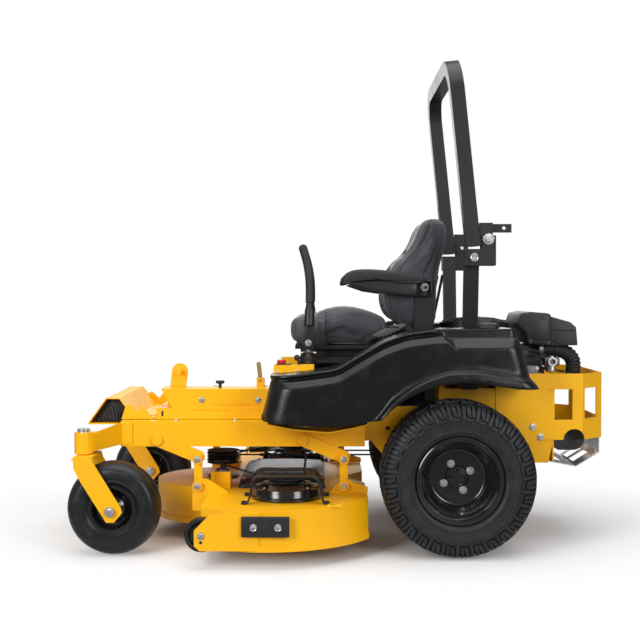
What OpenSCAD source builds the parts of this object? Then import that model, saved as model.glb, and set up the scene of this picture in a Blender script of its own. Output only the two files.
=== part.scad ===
// Zero turn mower with a side discharge deck, millimetres.
// +X forward, +Y to the operator's left, +Z up, ground at Z = 0.
// Every module is drawn from the rear axle's centre plane and moved to the footprint's centre.

/* [Wheels] */
// Outer diameter of a rear tyre
rear_od = 605; // [590:5:620]
// Width of a rear tyre
rear_w = 294; // [280:2:296]
// Distance from the centre plane to a rear tyre's middle
rear_track = 491; // [489:1:494]
// Outer diameter of a caster tyre
caster_od = 365; // [355:5:370]
// Width of a caster tyre
caster_w = 150; // [140:2:152]
// Caster pivot's distance ahead of the rear axle
caster_x = 1462; // [1450:2:1470]
// Caster pivot's distance from the centre plane
caster_y = 500; // [496:2:504]
// Trail of the caster axle behind its pivot
trail = 120; // [116:2:122]

/* [Frame] */
// Distance from the centre plane to the outside of a frame rail
rail_out = 375; // [372:1:378]
// Width of a frame rail
rail_w = 51; // [48:1:52]
// Height of a frame rail
rail_h = 102; // [98:2:104]
// Height of the rails' lower face
rail_z = 403; // [400:1:404]
// Thickness of folded plate
plate = 5; // [4:1:6]

/* [Deck] */
// Height of the deck skirt's lower edge
deck_low = 67; // [60:1:80]
// Height of the deck's top face
deck_top = 220; // [216:1:224]
// Distance from the centre plane to an outer spindle
spindle_y = 492; // [486:1:494]
// Length of a blade
blade_l = 520; // [480:2:524]

/* [Seat] */
// Width of the seat cushion
seat_w = 500; // [460:10:520]
// Height of the seat cushion's lower face
seat_z = 806; // [804:1:810]

/* [Roll bar] */
// Side of the roll bar's square tube
rops_t = 57; // [50:1:60]
// Rake of the upper hoop, forward of upright
rops_rake = 6; // [4:0.5:7]
// Distance from the centre plane to the middle of a hoop leg
rops_y = 420; // [416:1:424]

/* [Hidden] */
axle_x = -437;
mid_y = 128;
rear_r = rear_od / 2;
caster_r = caster_od / 2;
caster_ax = caster_x - trail;
rail_in = rail_out - rail_w;
rail_top = rail_z + rail_h;
fit = 0.05;
spindle_x = 667;
centre_x = 960;
spindles = [[spindle_x, spindle_y], [centre_x, 0], [spindle_x, -spindle_y]];
flank = [740, 345, 440];
front_pivot = [1190, 430];
rear_pivot = [604, 430];
arm_dx = 164;
arm_dz = 68;
front_end = front_pivot - [arm_dx, arm_dz];
rear_end = rear_pivot - [arm_dx, arm_dz];
link_l = 112;
belt_z = 296;
drive_z = belt_z + 30;
crank = [-135, 0];
hoop_pivot = [-130, 1235];
lever_x = 584;
lever_y = 330;
lever_pivot_z = 690;
roller = [974, 752, 128];
pedal_pivot = [1150, 470];
yellow = [0.93, 0.67, 0.03];
black = [0.09, 0.09, 0.1];
dark = [0.2, 0.2, 0.22];
silver = [0.75, 0.76, 0.78];

// ---- drawing helpers ----
module place() { translate([axle_x, mid_y, 0]) children(); }
module mirrored() { mirror([0, 1, 0]) children(); }
module both() { children(); mirrored() children(); }
// A profile in X and Z, from y0 towards the left by t
module xz(y0, t) { translate([0, y0 + t, 0]) rotate([90, 0, 0]) linear_extrude(t) children(); }
// A profile in Y and Z, from x0 forward by t
module yz(x0, t) { translate([x0, 0, 0]) rotate([90, 0, 90]) linear_extrude(t) children(); }
module pin_y(x, y0, z, len, d) {
    translate([x, y0, z]) rotate([-90, 0, 0]) cylinder(h = len, d = d, $fn = 48);
}
module pin_z(x, y, z0, len, d) { translate([x, y, z0]) cylinder(h = len, d = d, $fn = 48); }
module block(x0, x1, y0, y1, z0, z1) {
    translate([x0, y0, z0]) cube([x1 - x0, y1 - y0, z1 - z0]);
}
// A round bar between two points
module rod(a, b, d) {
    v = b - a;
    translate(a) rotate([0, acos(v[2] / norm(v)), atan2(v[1], v[0])])
        cylinder(h = norm(v), d = d, $fn = 24);
}
// A flat link in the XZ plane with round ends
module link_shape(a, b, w) {
    v = b - a;
    translate(a) circle(d = w, $fn = 48);
    translate(b) circle(d = w, $fn = 48);
    translate(a) rotate(atan2(v[1], v[0])) translate([0, 0.2 - w / 2]) square([norm(v), w - 0.4]);
}
// The edge of a bent plate of thickness t that follows some points
module plate_path(pts, t) {
    for (i = [0 : len(pts) - 2]) {
        v = pts[i + 1] - pts[i];
        translate(pts[i]) rotate(atan2(v[1], v[0])) translate([0, -t / 2]) square([norm(v), t]);
        if (i > 0) translate(pts[i]) circle(d = t + 0.8, $fn = 24);
    }
}
// Turned about an axle along Y, centred on y = 0
module turned(pts) { rotate([-90, 0, 0]) rotate_extrude($fn = 96) polygon(pts); }

// ---- chassis ----
module rail() {
    difference() {
        block(355, 1340, rail_in, rail_out, rail_z, rail_top);
        block(350, 1345, rail_in + plate, rail_out - plate, rail_z + plate, rail_top - plate);
        for (x = [front_pivot[0], rear_pivot[0]]) pin_y(x, rail_in - 5, 430, rail_w + 10, 32 + 2 * fit);
    }
}
module caster_arm_plan() {
    polygon([[1290, rail_in + 4], [1290, rail_out], [1335, rail_out + 4], [caster_x - 34, caster_y + 20],
        [caster_x + 30, caster_y - 20], [1352, rail_in + 4]]);
}
module caster_arm() {
    difference() {
        union() {
            intersection() {
                translate([0, 0, rail_z - 3]) linear_extrude(rail_h) caster_arm_plan();
                xz(0, 900) polygon([[1280, 411], [1280, 497], [1345, 496], [1425, 469], [1520, 468],
                    [1520, 401], [1425, 401], [1345, 411]]);
            }
            pin_z(caster_x, caster_y, 393, 83, 74);
        }
        pin_z(caster_x, caster_y, 380, 120, 34 + 2 * fit);
        block(1280, 1340, rail_in - 1, rail_out + 0.01, 390, 520);
    }
}
module belly_plate() {
    xz(rail_out + 25, 160) plate_path([[740, 512], [640, 492], [500, 480], [400, 500], [352, 512]], 4);
    for (x = [390, 700]) block(x, x + 30, rail_in + 10, rail_out + 60, rail_top, 510);
}
module pedal_ears() {
    block(1120, 1168, -rail_in, rail_in, 424, 430);
    for (y = [160, 240]) difference() {
        block(1125, 1168, y, y + 6, 430, 500);
        pin_y(pedal_pivot[0], y - 5, pedal_pivot[1], 20, 24 + 2 * fit);
    }
}
module main_frame() {
    place() color(yellow) {
        both() rail();
        block(1290, 1340, -rail_in, rail_in, 418, 469);
        block(780, 830, -rail_in, rail_in, 452, 500);
        block(380, 430, -rail_in + 8, rail_in - 8, 452, 500);
        pedal_ears();
    }
}
module outriggers() {
    place() color(yellow) both() {
        caster_arm();
        belly_plate();
    }
}
module pan_box(x0, x1, slant, y, z0, z1, t) {
    difference() {
        xz(-y, 2 * y) polygon([[x0, z0], [x0, z1], [x1, z1], [x1 - slant, z0]]);
        xz(-y + t, 2 * (y - t)) polygon([[x0 + t, z0 - 1], [x0 + t, z1 - t], [x1 - t - 4, z1 - t],
            [x1 - slant - t - 4, z0 - 1]]);
    }
}
module floor_pan() {
    place() color(yellow) difference() {
        union() {
            pan_box(720, 1204, 0, 318, rail_top + 1, 552, 4);
            difference() {
                xz(182, 124) polygon([[745, 552], [745, 630], [1187, 630], [1143, 552]]);
                xz(186, 116) polygon([[749, 551], [749, 626], [1179, 626], [1136, 551]]);
            }
            for (i = [0 : 11]) block(750 + 36 * i, 756 + 36 * i, -280, 160, 552, 555);
            both() block(900, 1060, 318, 320, 546, 552);
            for (y = [243, 263]) block(766, 798, y, y + 6, 629, 672);
        }
        block(1060, 1250, 190, 216, 500, 660);
        pin_z(950, 250, 600, 60, 16 + 2 * fit);
        pin_y(782, 235, 660, 40, 10 + 2 * fit);
    }
}
nose_side = [[1205, 505], [1205, 531], [1214, 512], [1228, 516], [1263, 565], [1283, 537], [1316, 567],
    [1332, 561], [1350, 505]];
module front_nose() {
    place() color(yellow) difference() {
        union() {
            both() xz(300, 5) polygon(nose_side);
            xz(-302, 604) plate_path([[1208, 509], [1297, 509], [1358, 589], [1412, 590], [1486, 488]], 4);
            block(1341, 1486, -300, 300, 484, 489);
            both() xz(150, 5) polygon([[1310, 490], [1312, 520], [1362, 586], [1408, 587], [1478, 492],
                [1478, 485], [1345, 485]]);
            both() xz(150, 5) polygon([[1306, 507.5], [1310, 521], [1350, 521], [1350, 485], [1341, 485]]);
        }
        block(1150, 1270, 190, 216, 500, 670);
    }
}
rear_side = [[-330, 330], [-395, 330], [-420, 440], [-420, 632], [52, 632], [52, 560], [560, 560],
    [560, 420], [330, 420], [250, 330], [120, 210], [20, 210], [-40, 300]];
module rear_frame() {
    place() color(yellow) {
        both() difference() {
            xz(rail_in - 6, 6) polygon(rear_side);
            pin_y(0, rail_in - 20, 302.5, 40, 90);
            pin_y(rear_pivot[0], rail_in - 20, 430, 40, 34);
            for (p = [[190, 330], [205, 395], [260, 470]]) pin_y(p[0], rail_in - 20, p[1], 40, 18);
            xz(rail_in - 20, 40) polygon([[80, 440], [160, 440], [160, 520], [100, 520]]);
        }
        difference() {
            block(-420, 46, -rail_in + 6, rail_in - 6, 470, 476);
            pin_z(crank[0], crank[1], 460, 30, 120);
        }
        block(40, 46, -rail_in + 6, rail_in - 6, 472, 700);
        block(-419, -413, -rail_in + 6, rail_in - 6, 331.8, 474);
    }
}
guard_side = [[-180, 440], [-180, 694], [-534, 694], [-534, 424], [-340, 424], [-330, 408], [-300, 408]];
module guard_cuts() {
    xz(0, 500) polygon([[-394, 630], [-492, 630], [-492, 506], [-420, 506]]);
    pin_y(-500, 0, 424, 500, 88);
}
module engine_guard() {
    place() color(yellow) difference() {
        union() {
            both() xz(rail_in + 1, 4) polygon(guard_side);
            difference() {
                translate([0, 0, 424]) linear_extrude(270) polygon([[-534, 329], [-633, 235], [-633, -235],
                    [-534, -329]]);
                translate([0, 0, 400]) linear_extrude(320) polygon([[-532.4, 325], [-629, 233.3],
                    [-629, -233.3], [-532.4, -325], [-500, -400], [-500, 400]]);
            }
            block(-631, -580, -60, 60, 424, 432);
        }
        both() guard_cuts();
        both() translate([-576, 289, 510]) rotate(-46.5) block(-30, 30, -44, 44, 0, 124);
        block(-700, -600, -150, 150, 508, 630);
        pin_z(-606, 0, 400, 60, 22);
        both() pin_y(-330, 300, 477, 60, 10);
        both() pin_y(-362, 300, 436, 60, 10);
    }
}
module lower_guard() {
    place() color(silver) difference() {
        xz(-240, 480) plate_path([[-384, 330], [-527, 303], [-622, 362], [-622, 424]], 4);
        for (y = [-180, -60, 60]) block(-600, -535, y, y + 90, 290, 390);
        for (y = [-180, 0]) block(-490, -430, y, y + 150, 290, 350);
    }
}
pod_side = [[768, 524], [752, 620], [738, 700], [654, 708], [468, 730], [362, 796], [290, 836],
    [196, 868], [90, 882], [-212, 884], [-219, 838], [-246, 808], [-273, 700], [-310, 656],
    [-310, 646], [-262, 650], [-160, 660], [20, 655], [120, 630], [230, 560], [300, 516]];
module pod() {
    difference() {
        union() {
            xz(rail_out + 4, 228) polygon(pod_side);
            block(-200, 90, rail_out - 60, rail_out + 10, 872, 884);
        }
        pin_y(0, rail_out - 20, 302.5, 300, 2 * rear_r + 70);
        pin_z(-120, 500, 870, 20, 78 + 2 * fit);
        block(290, 900, rail_out - 10, rail_out + 90, 690, 900);
        block(-170, 60, rail_out - 100, rail_out + 60, 700, 860);
        block(-104, -36, 290, 424, 690, 900);
    }
}
module left_pod() { place() color(black) pod(); }
module right_pod() { place() color(black) mirrored() pod(); }

// ---- engine ----
module engine_block() {
    place() color(dark) {
        pin_z(crank[0], 0, 477, 190, 250);
        both() translate([crank[0], 0, 600]) rotate([-90, 0, 45]) difference() {
            translate([0, 0, 60]) cylinder(h = 170, d = 120, $fn = 48);
            for (i = [0 : 5]) translate([0, 0, 90 + 20 * i]) difference() {
                cylinder(h = 8, d = 140, $fn = 48);
                translate([0, 0, -1]) cylinder(h = 10, d = 96, $fn = 48);
            }
        }
        block(-420, -300, -110, 110, 560, 700);
        pin_y(-60, 125, 560, 80, 76);
    }
}
module engine_shroud() {
    place() color(black) {
        difference() {
            pin_z(crank[0], 0, 702, 194, 300);
            pin_z(crank[0], 0, 690, 196, 290);
            for (a = [0 : 15 : 345]) translate([crank[0], 0, 880]) rotate(a) block(46, 126, -4, 4, 0, 40);
        }
        difference() {
            both() block(-280, -20, 110, 230, 664, 780);
            pin_z(crank[0], 0, 630, 300, 300.5);
        }
    }
}
hood = [[-288, 800], [-288, 890], [-312, 943], [-410, 941], [-450, 930], [-515, 906], [-551, 880],
    [-551, 806], [-430, 800]];
module air_cleaner() {
    place() color(black) {
        xz(-170, 340) polygon(hood);
        translate([-480, 60, 803]) rotate([0, 150, 0]) cylinder(h = 90, d = 90, $fn = 48);
        block(-420, -310, -60, 60, 702, 800);
    }
}
module muffler() {
    place() color(black) {
        both() pin_y(-517, 0, 414, 230, 92);
        block(-517, -463, -230, 230, 374, 454);
        pin_y(-463, -230, 414, 460, 80);
    }
}
module wheel_motors() {
    place() color(dark) both() {
        pin_y(0, 150, 302.5, 168, 150);
        block(-90, 110, 150, 300, 230, 380);
        pin_y(0, 318, 302.5, 120, 80);
        pin_z(60, 225, 380, 70, 100);
    }
}
module battery() {
    place() color(dark) {
        block(80, 280, -90, 90, 560, 716);
        both() pin_z(110, 60, 716, 14, 18);
        block(70, 290, -rail_in + 6, rail_in - 6, 554, 560);
        block(70, 80, -60, 60, 560, 700);
    }
}
module seat_plate() {
    place() color(dark) {
        block(60, 620, -250, 250, 748, 758);
        both() block(60, 620, 240, 300, 736, 748);
        both() for (x = [66, 560]) {
            block(x, x + 40, 262, 300, 566, 736);
            block(x, x + 40, 262, rail_in, 560, 566);
        }
        both() pin_y(lever_x, 300, lever_pivot_z, 50, 20);
    }
}

// ---- roll bar ----
module post() {
    difference() {
        translate([-70, 330, 702]) rotate([-7.5, 0, 0]) block(-28, 28, -28, 28, 0, 494);
        block(-200, 100, 200, 600, 1186, 1300);
    }
    block(-100, -40, 300, 360, 632, 716);
    difference() {
        translate([0, rops_y + 29.5, 0]) rotate([90, 0, 0]) linear_extrude(59)
            polygon([[-160, 1130], [-160, 1250], [-104, 1250], [-104, 1196], [-40, 1196], [-40, 1130]]);
        block(-180, -106, rops_y - 24, rops_y + 24, 1120, 1300);
        block(-300, 0, rops_y - 24, rops_y + 24, 1190, 1300);
        pin_y(hoop_pivot[0], rops_y - 50, hoop_pivot[1], 100, 16 + 2 * fit);
    }
}
module rops_posts() {
    place() color(black) {
        both() post();
    }
}
module hoop_bar() {
    t = rops_t;
    r = 100;
    leg = 735;
    both() block(-t / 2, t / 2, rops_y - t / 2, rops_y + t / 2, 0, leg - t / 2 - r);
    block(-t / 2, t / 2, -rops_y + t / 2 + r, rops_y - t / 2 - r, leg - t / 2, leg + t / 2);
    both() translate([0, rops_y - t / 2 - r, leg - t / 2 - r]) rotate([90, 0, 90])
        rotate_extrude(angle = 90, $fn = 64) translate([r, -t / 2]) square([t, t]);
}
module rops_hoop() {
    place() color(black) {
        difference() {
            translate([-72, 0, 1206]) rotate([0, rops_rake, 0]) hoop_bar();
            block(-300, 200, -600, 600, 1100, 1206);
        }
        both() difference() {
            union() {
                block(-148, -98, rops_y - 23.5, rops_y + 23.5, 1216, 1300);
                pin_y(hoop_pivot[0], rops_y - 23.5, hoop_pivot[1], 47, 36);
                block(-225, -148, rops_y - 4, rops_y + 4, 1262, 1296);
            }
            pin_y(hoop_pivot[0], rops_y - 30, hoop_pivot[1], 60, 16 + 2 * fit);
            pin_y(-195, rops_y - 30, 1280, 60, 14);
        }
    }
}
module console() {
    place() color(yellow) {
        difference() {
            block(560, 720, 383, 446, 690, 736);
            pin_z(690, 415, 700, 80, 26 + 2 * fit);
            block(590, 640, 405, 425, 706, 760);
        }
        mirrored() block(640, 720, 383, 446, 690, 722);
    }
}
module bolt_y(x, y, z, d) { pin_y(x, y, z, 7, d); }
module frame_bolts() {
    place() color(silver) both() {
        for (x = [790, 1020]) bolt_y(x, 306, 584, 16);
        for (p = [[-330, 477], [-362, 436]]) bolt_y(p[0], rail_in + 5, p[1], 17);
        pin_z(caster_x, caster_y, 476, 14, 50);
        bolt_y(-73, rops_y + 29.5, 1165, 30);
        translate([hoop_pivot[0], rops_y - 36, hoop_pivot[1]]) rotate([-90, 0, 0]) {
            cylinder(h = 72, d = 16, $fn = 48);
            translate([0, 0, 65.6]) cylinder(h = 8, d = 26, $fn = 6);
        }
    }
}

// ---- rear wheels ----
module tyre(od, w, bead, flange, seat) {
    r = od / 2;
    h = w / 2;
    c = w * 0.13;
    side = [[bead + 0.2, 0.5 - seat], [flange + 0.4, -seat - 4.6], [flange + 10, 3 - h], [r - c * 1.5, -h],
        [r - c * 0.5, -h + c * 0.25], [r - 4, -h + c], [r, -h * 0.4]];
    inside = [[r - 16, -h * 0.6], [r - 26, 18 - h], [flange + 12, 20 - h], [bead + 0.2, 20 - seat]];
    half = concat(side, [for (i = [len(side) - 1 : -1 : 0]) [side[i][0], -side[i][1]]]);
    hollow = concat([for (i = [len(inside) - 1 : -1 : 0]) [inside[i][0], -inside[i][1]]], inside);
    turned(concat(half, hollow));
}
module rear_rim() {
    color(black) {
        difference() {
            turned([[148, -134], [166, -134], [166, -131], [152.4, -126], [152.4, 126], [166, 131],
                [166, 134], [148, 134], [146, 120], [118, 40], [104, 14], [46, 14], [46, 6], [106, 6],
                [126, 34], [144, 60], [146, -120]]);
            for (a = [25 : 90 : 295]) rotate([0, a, 0]) pin_y(57.15, -20, 0, 60, 13);
        }
        pin_y(0, -46, 0, 90, 58);
        pin_y(0, -52, 0, 58, 90);
    }
    color(silver) for (a = [25 : 90 : 295]) rotate([0, a, 0])
        translate([57.15, 14, 0]) rotate([-90, 0, 0]) cylinder(h = 16, d = 22, $fn = 6);
}
module rear_tyre() { color(black) tyre(rear_od, rear_w, 152.4, 166, 126); }
module left_tyre() { place() translate([0, rear_track, rear_r]) rear_tyre(); }
module left_rim() { place() translate([0, rear_track, rear_r]) rear_rim(); }
module right_tyre() { place() mirrored() translate([0, rear_track, rear_r]) rear_tyre(); }
module right_rim() { place() mirrored() translate([0, rear_track, rear_r]) rear_rim(); }

// ---- casters ----
module fork() {
    color(yellow) translate([caster_x, caster_y, 0]) {
        pin_z(0, 0, 383, 90, 34);
        block(-49, 23, -98, 98, 382, 390);
        both() difference() {
            xz(90, 8) polygon([[24, 390], [20, 345], [-2, 302], [-104, 139], [-134, 139], [-165, 176],
                [-160, 196], [-56, 366], [-50, 390]]);
            pin_y(-trail, 80, caster_r, 30, 19.2);
        }
    }
    color(silver) translate([caster_ax, caster_y, caster_r]) {
        pin_y(0, -112, 0, 224, 19);
        both() pin_y(0, 98.5, 0, 12, 30);
        both() pin_y(0, 82, 0, 8, 28);
    }
}
module caster_rim() {
    color(black) difference() {
        union() {
            turned([[72, -64], [92, -64], [92, -61], [78, -56], [78, 56], [92, 61], [92, 64], [72, 64],
                [70, 8], [24, 8], [24, -8], [70, -8]]);
            pin_y(0, -80, 0, 160, 52);
        }
        pin_y(0, -90, 0, 180, 19 + 2 * fit);
    }
}
module caster_tyre() { color(black) tyre(caster_od, caster_w, 78, 92, 56); }
module left_fork() { place() fork(); }
module left_caster_tyre() { place() translate([caster_ax, caster_y, caster_r]) caster_tyre(); }
module left_caster_rim() { place() translate([caster_ax, caster_y, caster_r]) caster_rim(); }
module right_fork() { place() mirrored() fork(); }
module right_caster_tyre() {
    place() mirrored() translate([caster_ax, caster_y, caster_r]) caster_tyre();
}
module right_caster_rim() {
    place() mirrored() translate([caster_ax, caster_y, caster_r]) caster_rim();
}

// ---- control levers ----
module lever_base() {
    color(dark) difference() {
        union() {
            pin_y(lever_x, lever_y - 26, lever_pivot_z, 40, 44);
            xz(lever_y - 8, 8) difference() {
                link_shape([lever_x, lever_pivot_z], [lever_x, 770], 30);
                for (i = [0 : 2]) translate([lever_x, 722 + 18 * i]) circle(d = 8, $fn = 24);
            }
            translate([lever_x - 21, lever_y - 4, 778]) rotate([0, 90, 0])
                cylinder(h = 42, d = 20, $fn = 48);
        }
        translate([lever_x - 30, lever_y - 4, 778]) rotate([0, 90, 0])
            cylinder(h = 60, d = 10 + 2 * fit, $fn = 48);
        pin_y(lever_x, lever_y - 40, lever_pivot_z, 80, 20 + 2 * fit);
    }
}
module lever() {
    color(black) {
        translate([lever_x - 32, lever_y - 4, 778]) rotate([0, 90, 0]) cylinder(h = 64, d = 10, $fn = 48);
        for (x = [-32, 21.3]) block(lever_x + x, lever_x + x + 10.7, lever_y - 12, lever_y + 4, 768, 800);
        block(lever_x - 32, lever_x + 32, lever_y - 10, lever_y + 2, 790, 872);
        rod([lever_x, lever_y - 4, 860], [lever_x - 6, lever_y - 14, 984], 26);
        rod([lever_x - 6, lever_y - 14, 980], [lever_x - 4, lever_y - 40, 1095], 34);
        rod([lever_x - 4, lever_y - 40, 1090], [lever_x + 22, lever_y - 84, 1222], 34);
        translate([lever_x - 4, lever_y - 40, 1093]) sphere(d = 34, $fn = 32);
    }
    color(silver) for (z = [819]) pin_y(lever_x, lever_y + 2, z, 6, 18);
}
module left_lever_base() { place() lever_base(); }
module left_lever() { place() lever(); }
module right_lever_base() { place() mirrored() lever_base(); }
module right_lever() { place() mirrored() lever(); }

// ---- seat ----
cushion_side = [[250, seat_z], [640, seat_z], [668, seat_z + 16], [674, seat_z + 60], [662, seat_z + 104],
    [620, seat_z + 124], [500, seat_z + 156], [420, seat_z + 160], [340, seat_z + 142], [250, seat_z + 96]];
module seat_cushion() {
    place() color(dark) xz(-seat_w / 2, seat_w) polygon(cushion_side);
}
back_side = [[86, 872], [226, 872], [246, 960], [236, 1010], [206, 1068], [150, 1120], [100, 1190],
    [76, 1286], [52, 1330], [20, 1336], [2, 1310], [16, 1180], [44, 1010]];
module seat_back() {
    place() color(dark) xz(-235, 470) polygon(back_side);
}
module seat_pan() {
    place() color(black) {
        block(250, 640, -230, 230, 790, seat_z - 0.3);
        block(60, 250, -230, 230, 790, 800);
        both() xz(100, 8) polygon([[50, 790], [50, 900], [8, 1100], [20, 1100], [38, 1010], [72, 872],
            [80, 800]]);
        both() block(240, 600, 150, 190, 759, 790);
        both() xz(236, 10) polygon([[70, 800], [60, 1075], [140, 1075], [150, 800]]);
        both() pin_y(102, 246, 1046, 46, 14);
    }
}
module armrest() {
    color(black) difference() {
        union() {
            block(80, 146, 250, 262, 1016, 1078);
            block(140, 420, 250, 284, 1040, 1062);
            xz(250, 54) polygon([[96, 1066], [96, 1090], [200, 1108], [400, 1118], [438, 1108],
                [450, 1084], [440, 1066]]);
        }
        pin_y(102, 240, 1046, 80, 14 + 2 * fit);
    }
}
module left_armrest() { place() armrest(); }
module right_armrest() { place() mirrored() armrest(); }

// ---- deck ----
module deck_plan(inset) {
    for (s = [-1, 1]) intersection() {
        translate([flank[0], s * flank[1]]) circle(r = flank[2] - inset, $fn = 160);
        translate([344 + inset, s > 0 ? 0 : -900]) square([641 - 2 * inset, 900]);
    }
    translate([centre_x, 0]) circle(r = 285 - inset, $fn = 120);
}
// The slot that a hanger's foot bolt slides in as the arms swing
module hanger_slot(end) {
    foot = end - [0, link_l];
    link_shape(foot - [15, 0], foot + [2, 0], 15);
}
module deck_shell() {
    h = deck_top - deck_low;
    place() color(yellow) {
        difference() {
            union() {
                translate([0, 0, deck_low]) linear_extrude(h) deck_plan(4);
                translate([0, 0, deck_low]) linear_extrude(24) deck_plan(0);
            }
            translate([0, 0, deck_low - 1]) linear_extrude(h - 4) deck_plan(8);
            for (p = spindles) pin_z(p[0], p[1], 200, 60, 90);
            block(560, 900, -900, -640, deck_low + 22, deck_top - 10);
            both() pin_y(roller[0], 724.5, roller[2], 54, 133);
        }
        both() {
            xz(402, 6) difference() {
                polygon([[1048, 150], [1048, 258], [1022, 280], [986, 276], [906, 226], [906, 218],
                    [986, 218],
                    [986, 150]]);
                hanger_slot(front_end);
            }
            xz(402, 6) difference() {
                polygon([[500, 222], [460, 262], [424, 276], [404, 262], [344, 244], [344, 222]]);
                hanger_slot(rear_end);
            }
            xz(718, 6) roller_plate(880);
            xz(779, 6) roller_plate(760);
            block(880, 900, 724, 779, 100, 200);
            block(905, 984, 290, 296, 218, 288);
            block(905, 911, 200, 296, 218, 288);
            pin_y(roller[0], 716, roller[2], 71, 12);
        }
        rod([546, chute_y, 236], [914, chute_y, 236], 10);
        for (x = [548, 904]) block(x, x + 8, chute_y - 10, -720, 216, 246);
    }
}
module roller_plate(back) {
    difference() {
        polygon([[back, 72], [978, 72], [999, 90], [999, 148], [942, 206], [back, 212]]);
        for (z = [0, -24]) translate([roller[0], roller[2] + z]) circle(d = z == 0 ? 12.2 : 10, $fn = 48);
    }
}
module deck_trim() {
    place() color(black) {
        spindle_housing_set();
        xz(785, 14) translate([647, 124]) square([178, 79]);
        both() {
            translate([spindle_x, spindle_y, 0]) rotate_extrude($fn = 96)
                polygon([[46, 262], [90, 262], [120, 248], [140, 240], [140, 221], [144, 221], [144, 243],
                    [122, 252], [92, 266], [46, 266]]);
            for (x = [556, 764]) block(x, x + 20, 640, 646, 221, 318);
            block(556, 784, 424, 646, 318, 322);
        }
    }
}
module spindle_housing_set() {
    for (p = spindles) translate([p[0], p[1], 0]) difference() {
        union() {
            pin_z(0, 0, 170, 86, 88);
            pin_z(0, 0, 221, 10, 130);
        }
        pin_z(0, 0, 160, 110, 26);
    }
}
module pulley(d) {
    rotate_extrude($fn = 96) polygon([[0, -12], [d / 2, -12], [d / 2 - 10, -3], [d / 2 - 10, 3],
        [d / 2, 12], [0, 12]]);
}
module blade_spindle(i) {
    p = spindles[i];
    translate([p[0], p[1], 0]) {
        color(dark) translate([0, 0, belt_z]) pulley(140);
        if (i == 1) color(dark) translate([0, 0, drive_z]) pulley(140);
        color(dark) {
            pin_z(0, 0, 100, (i == 1 ? drive_z : belt_z) - 84, 25);
            block(-blade_l / 2, blade_l / 2, -31, 31, 104, 110);
            for (a = [0, 180]) rotate(a) translate([170, 28, 104.5]) rotate([30, 0, 0])
                cube([blade_l / 2 - 174, 26, 5]);
            pin_z(0, 0, 92, 12, 36);
        }
    }
}
module left_spindle() { place() blade_spindle(0); }
module centre_spindle() { place() blade_spindle(1); }
module right_spindle() { place() blade_spindle(2); }
module crank_pulley() {
    place() color(dark) translate([crank[0], 0, 0]) {
        pin_z(0, 0, 300, 176, 36);
        translate([0, 0, drive_z]) rotate_extrude($fn = 96)
            polygon([[0, -12], [70, -12], [60, -3], [60, 3], [70, 12], [70, 60], [0, 60]]);
    }
}
// A belt round some pulleys, lying in their grooves
module belt(centres, z) {
    translate([0, 0, z - 3]) linear_extrude(6) difference() {
        hull() for (c = centres) translate(c) circle(r = 70, $fn = 64);
        hull() for (c = centres) translate(c) circle(r = 62, $fn = 64);
    }
}
module drive_belt() {
    place() color(black) {
        belt(spindles, belt_z);
        belt([crank, spindles[1]], drive_z);
    }
}

// ---- deck lift ----
module lift_arm(pivot, end, y) {
    xz(y, 8) difference() {
        link_shape(pivot, end, 52);
        translate(end) circle(d = 12.2, $fn = 48);
    }
}
module lift_arms(pivot, end) {
    color(yellow) {
        both() lift_arm(pivot, end, rail_out + 2);
        pin_y(pivot[0], -rail_out - 6, pivot[1], 2 * rail_out + 12, 32);
        both() pin_y(pivot[0], rail_out + 7, pivot[1], 11, 42);
    }
}
module front_lift_arms() { place() lift_arms(front_pivot, front_end); }
module rear_lift_arms() { place() lift_arms(rear_pivot, rear_end); }
module hangers(end) {
    foot = [end[0], end[1] - link_l];
    color(yellow) both() {
        xz(rail_out + 11, 8) link_shape(end, foot, 34);
        pin_y(end[0], rail_out + 0.5, end[1], 24, 12);
        pin_y(foot[0], rail_out + 11, foot[1], 36, 12);
        pin_y(foot[0], 409, foot[1], 8, 24);
    }
}
module front_hangers() { place() hangers(front_end); }
module rear_hangers() { place() hangers(rear_end); }
module lift_pedal() {
    place() color(yellow) {
        xz(198, 10) link_shape(pedal_pivot, [1122, 696], 66);
        pin_y(1122, 208, 696, 60, 24);
        pin_y(pedal_pivot[0], 150, pedal_pivot[1], 110, 24);
    }
}
// ---- chute, rollers and small controls ----
chute_y = -792;
module chute() {
    place() color(black) difference() {
        union() {
            rod([560, chute_y, 236], [900, chute_y, 236], 20);
            translate([0, chute_y, 236]) rotate([30, 0, 0]) {
                block(560, 900, -300, -8, -4, 2);
                for (x = [560, 895]) block(x, x + 5, -300, -40, -52, -3);
            }
        }
        rod([550, chute_y, 236], [910, chute_y, 236], 10 + 2 * fit);
    }
}
module anti_scalp_roller() {
    color(black) difference() {
        pin_y(roller[0], roller[1] - 24, roller[2], 50, 127);
        pin_y(roller[0], roller[1] - 30, roller[2], 70, 12 + 2 * fit);
    }
}
module left_roller() { place() anti_scalp_roller(); }
module right_roller() { place() mirrored() anti_scalp_roller(); }
module brake_lever() {
    place() color([0.6, 0.4, 0.15]) {
        xz(252, 8) link_shape([782, 660], [790, 729], 18);
        pin_y(782, 244.5, 660, 23, 10);
    }
}
module throttle() {
    place() color(black) {
        pin_y(615, 407, 716, 16, 16);
        rod([615, 415, 716], [626, 415, 758], 8);
        translate([628, 415, 764]) sphere(d = 24, $fn = 32);
    }
}
module clutch_switch() {
    place() color(black) {
        pin_z(690, 415, 712, 34, 26);
        pin_z(690, 415, 742, 14, 36);
    }
}
module height_knob() {
    place() color(black) {
        pin_z(950, 250, 606, 50, 14);
        pin_z(950, 250, 650, 10, 36);
    }
}
module fuel_cap() {
    color(black) {
        pin_z(-120, 500, 875, 10, 78);
        pin_z(-120, 500, 885, 22, 92);
    }
}
module left_fuel_cap() { place() fuel_cap(); }
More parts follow.
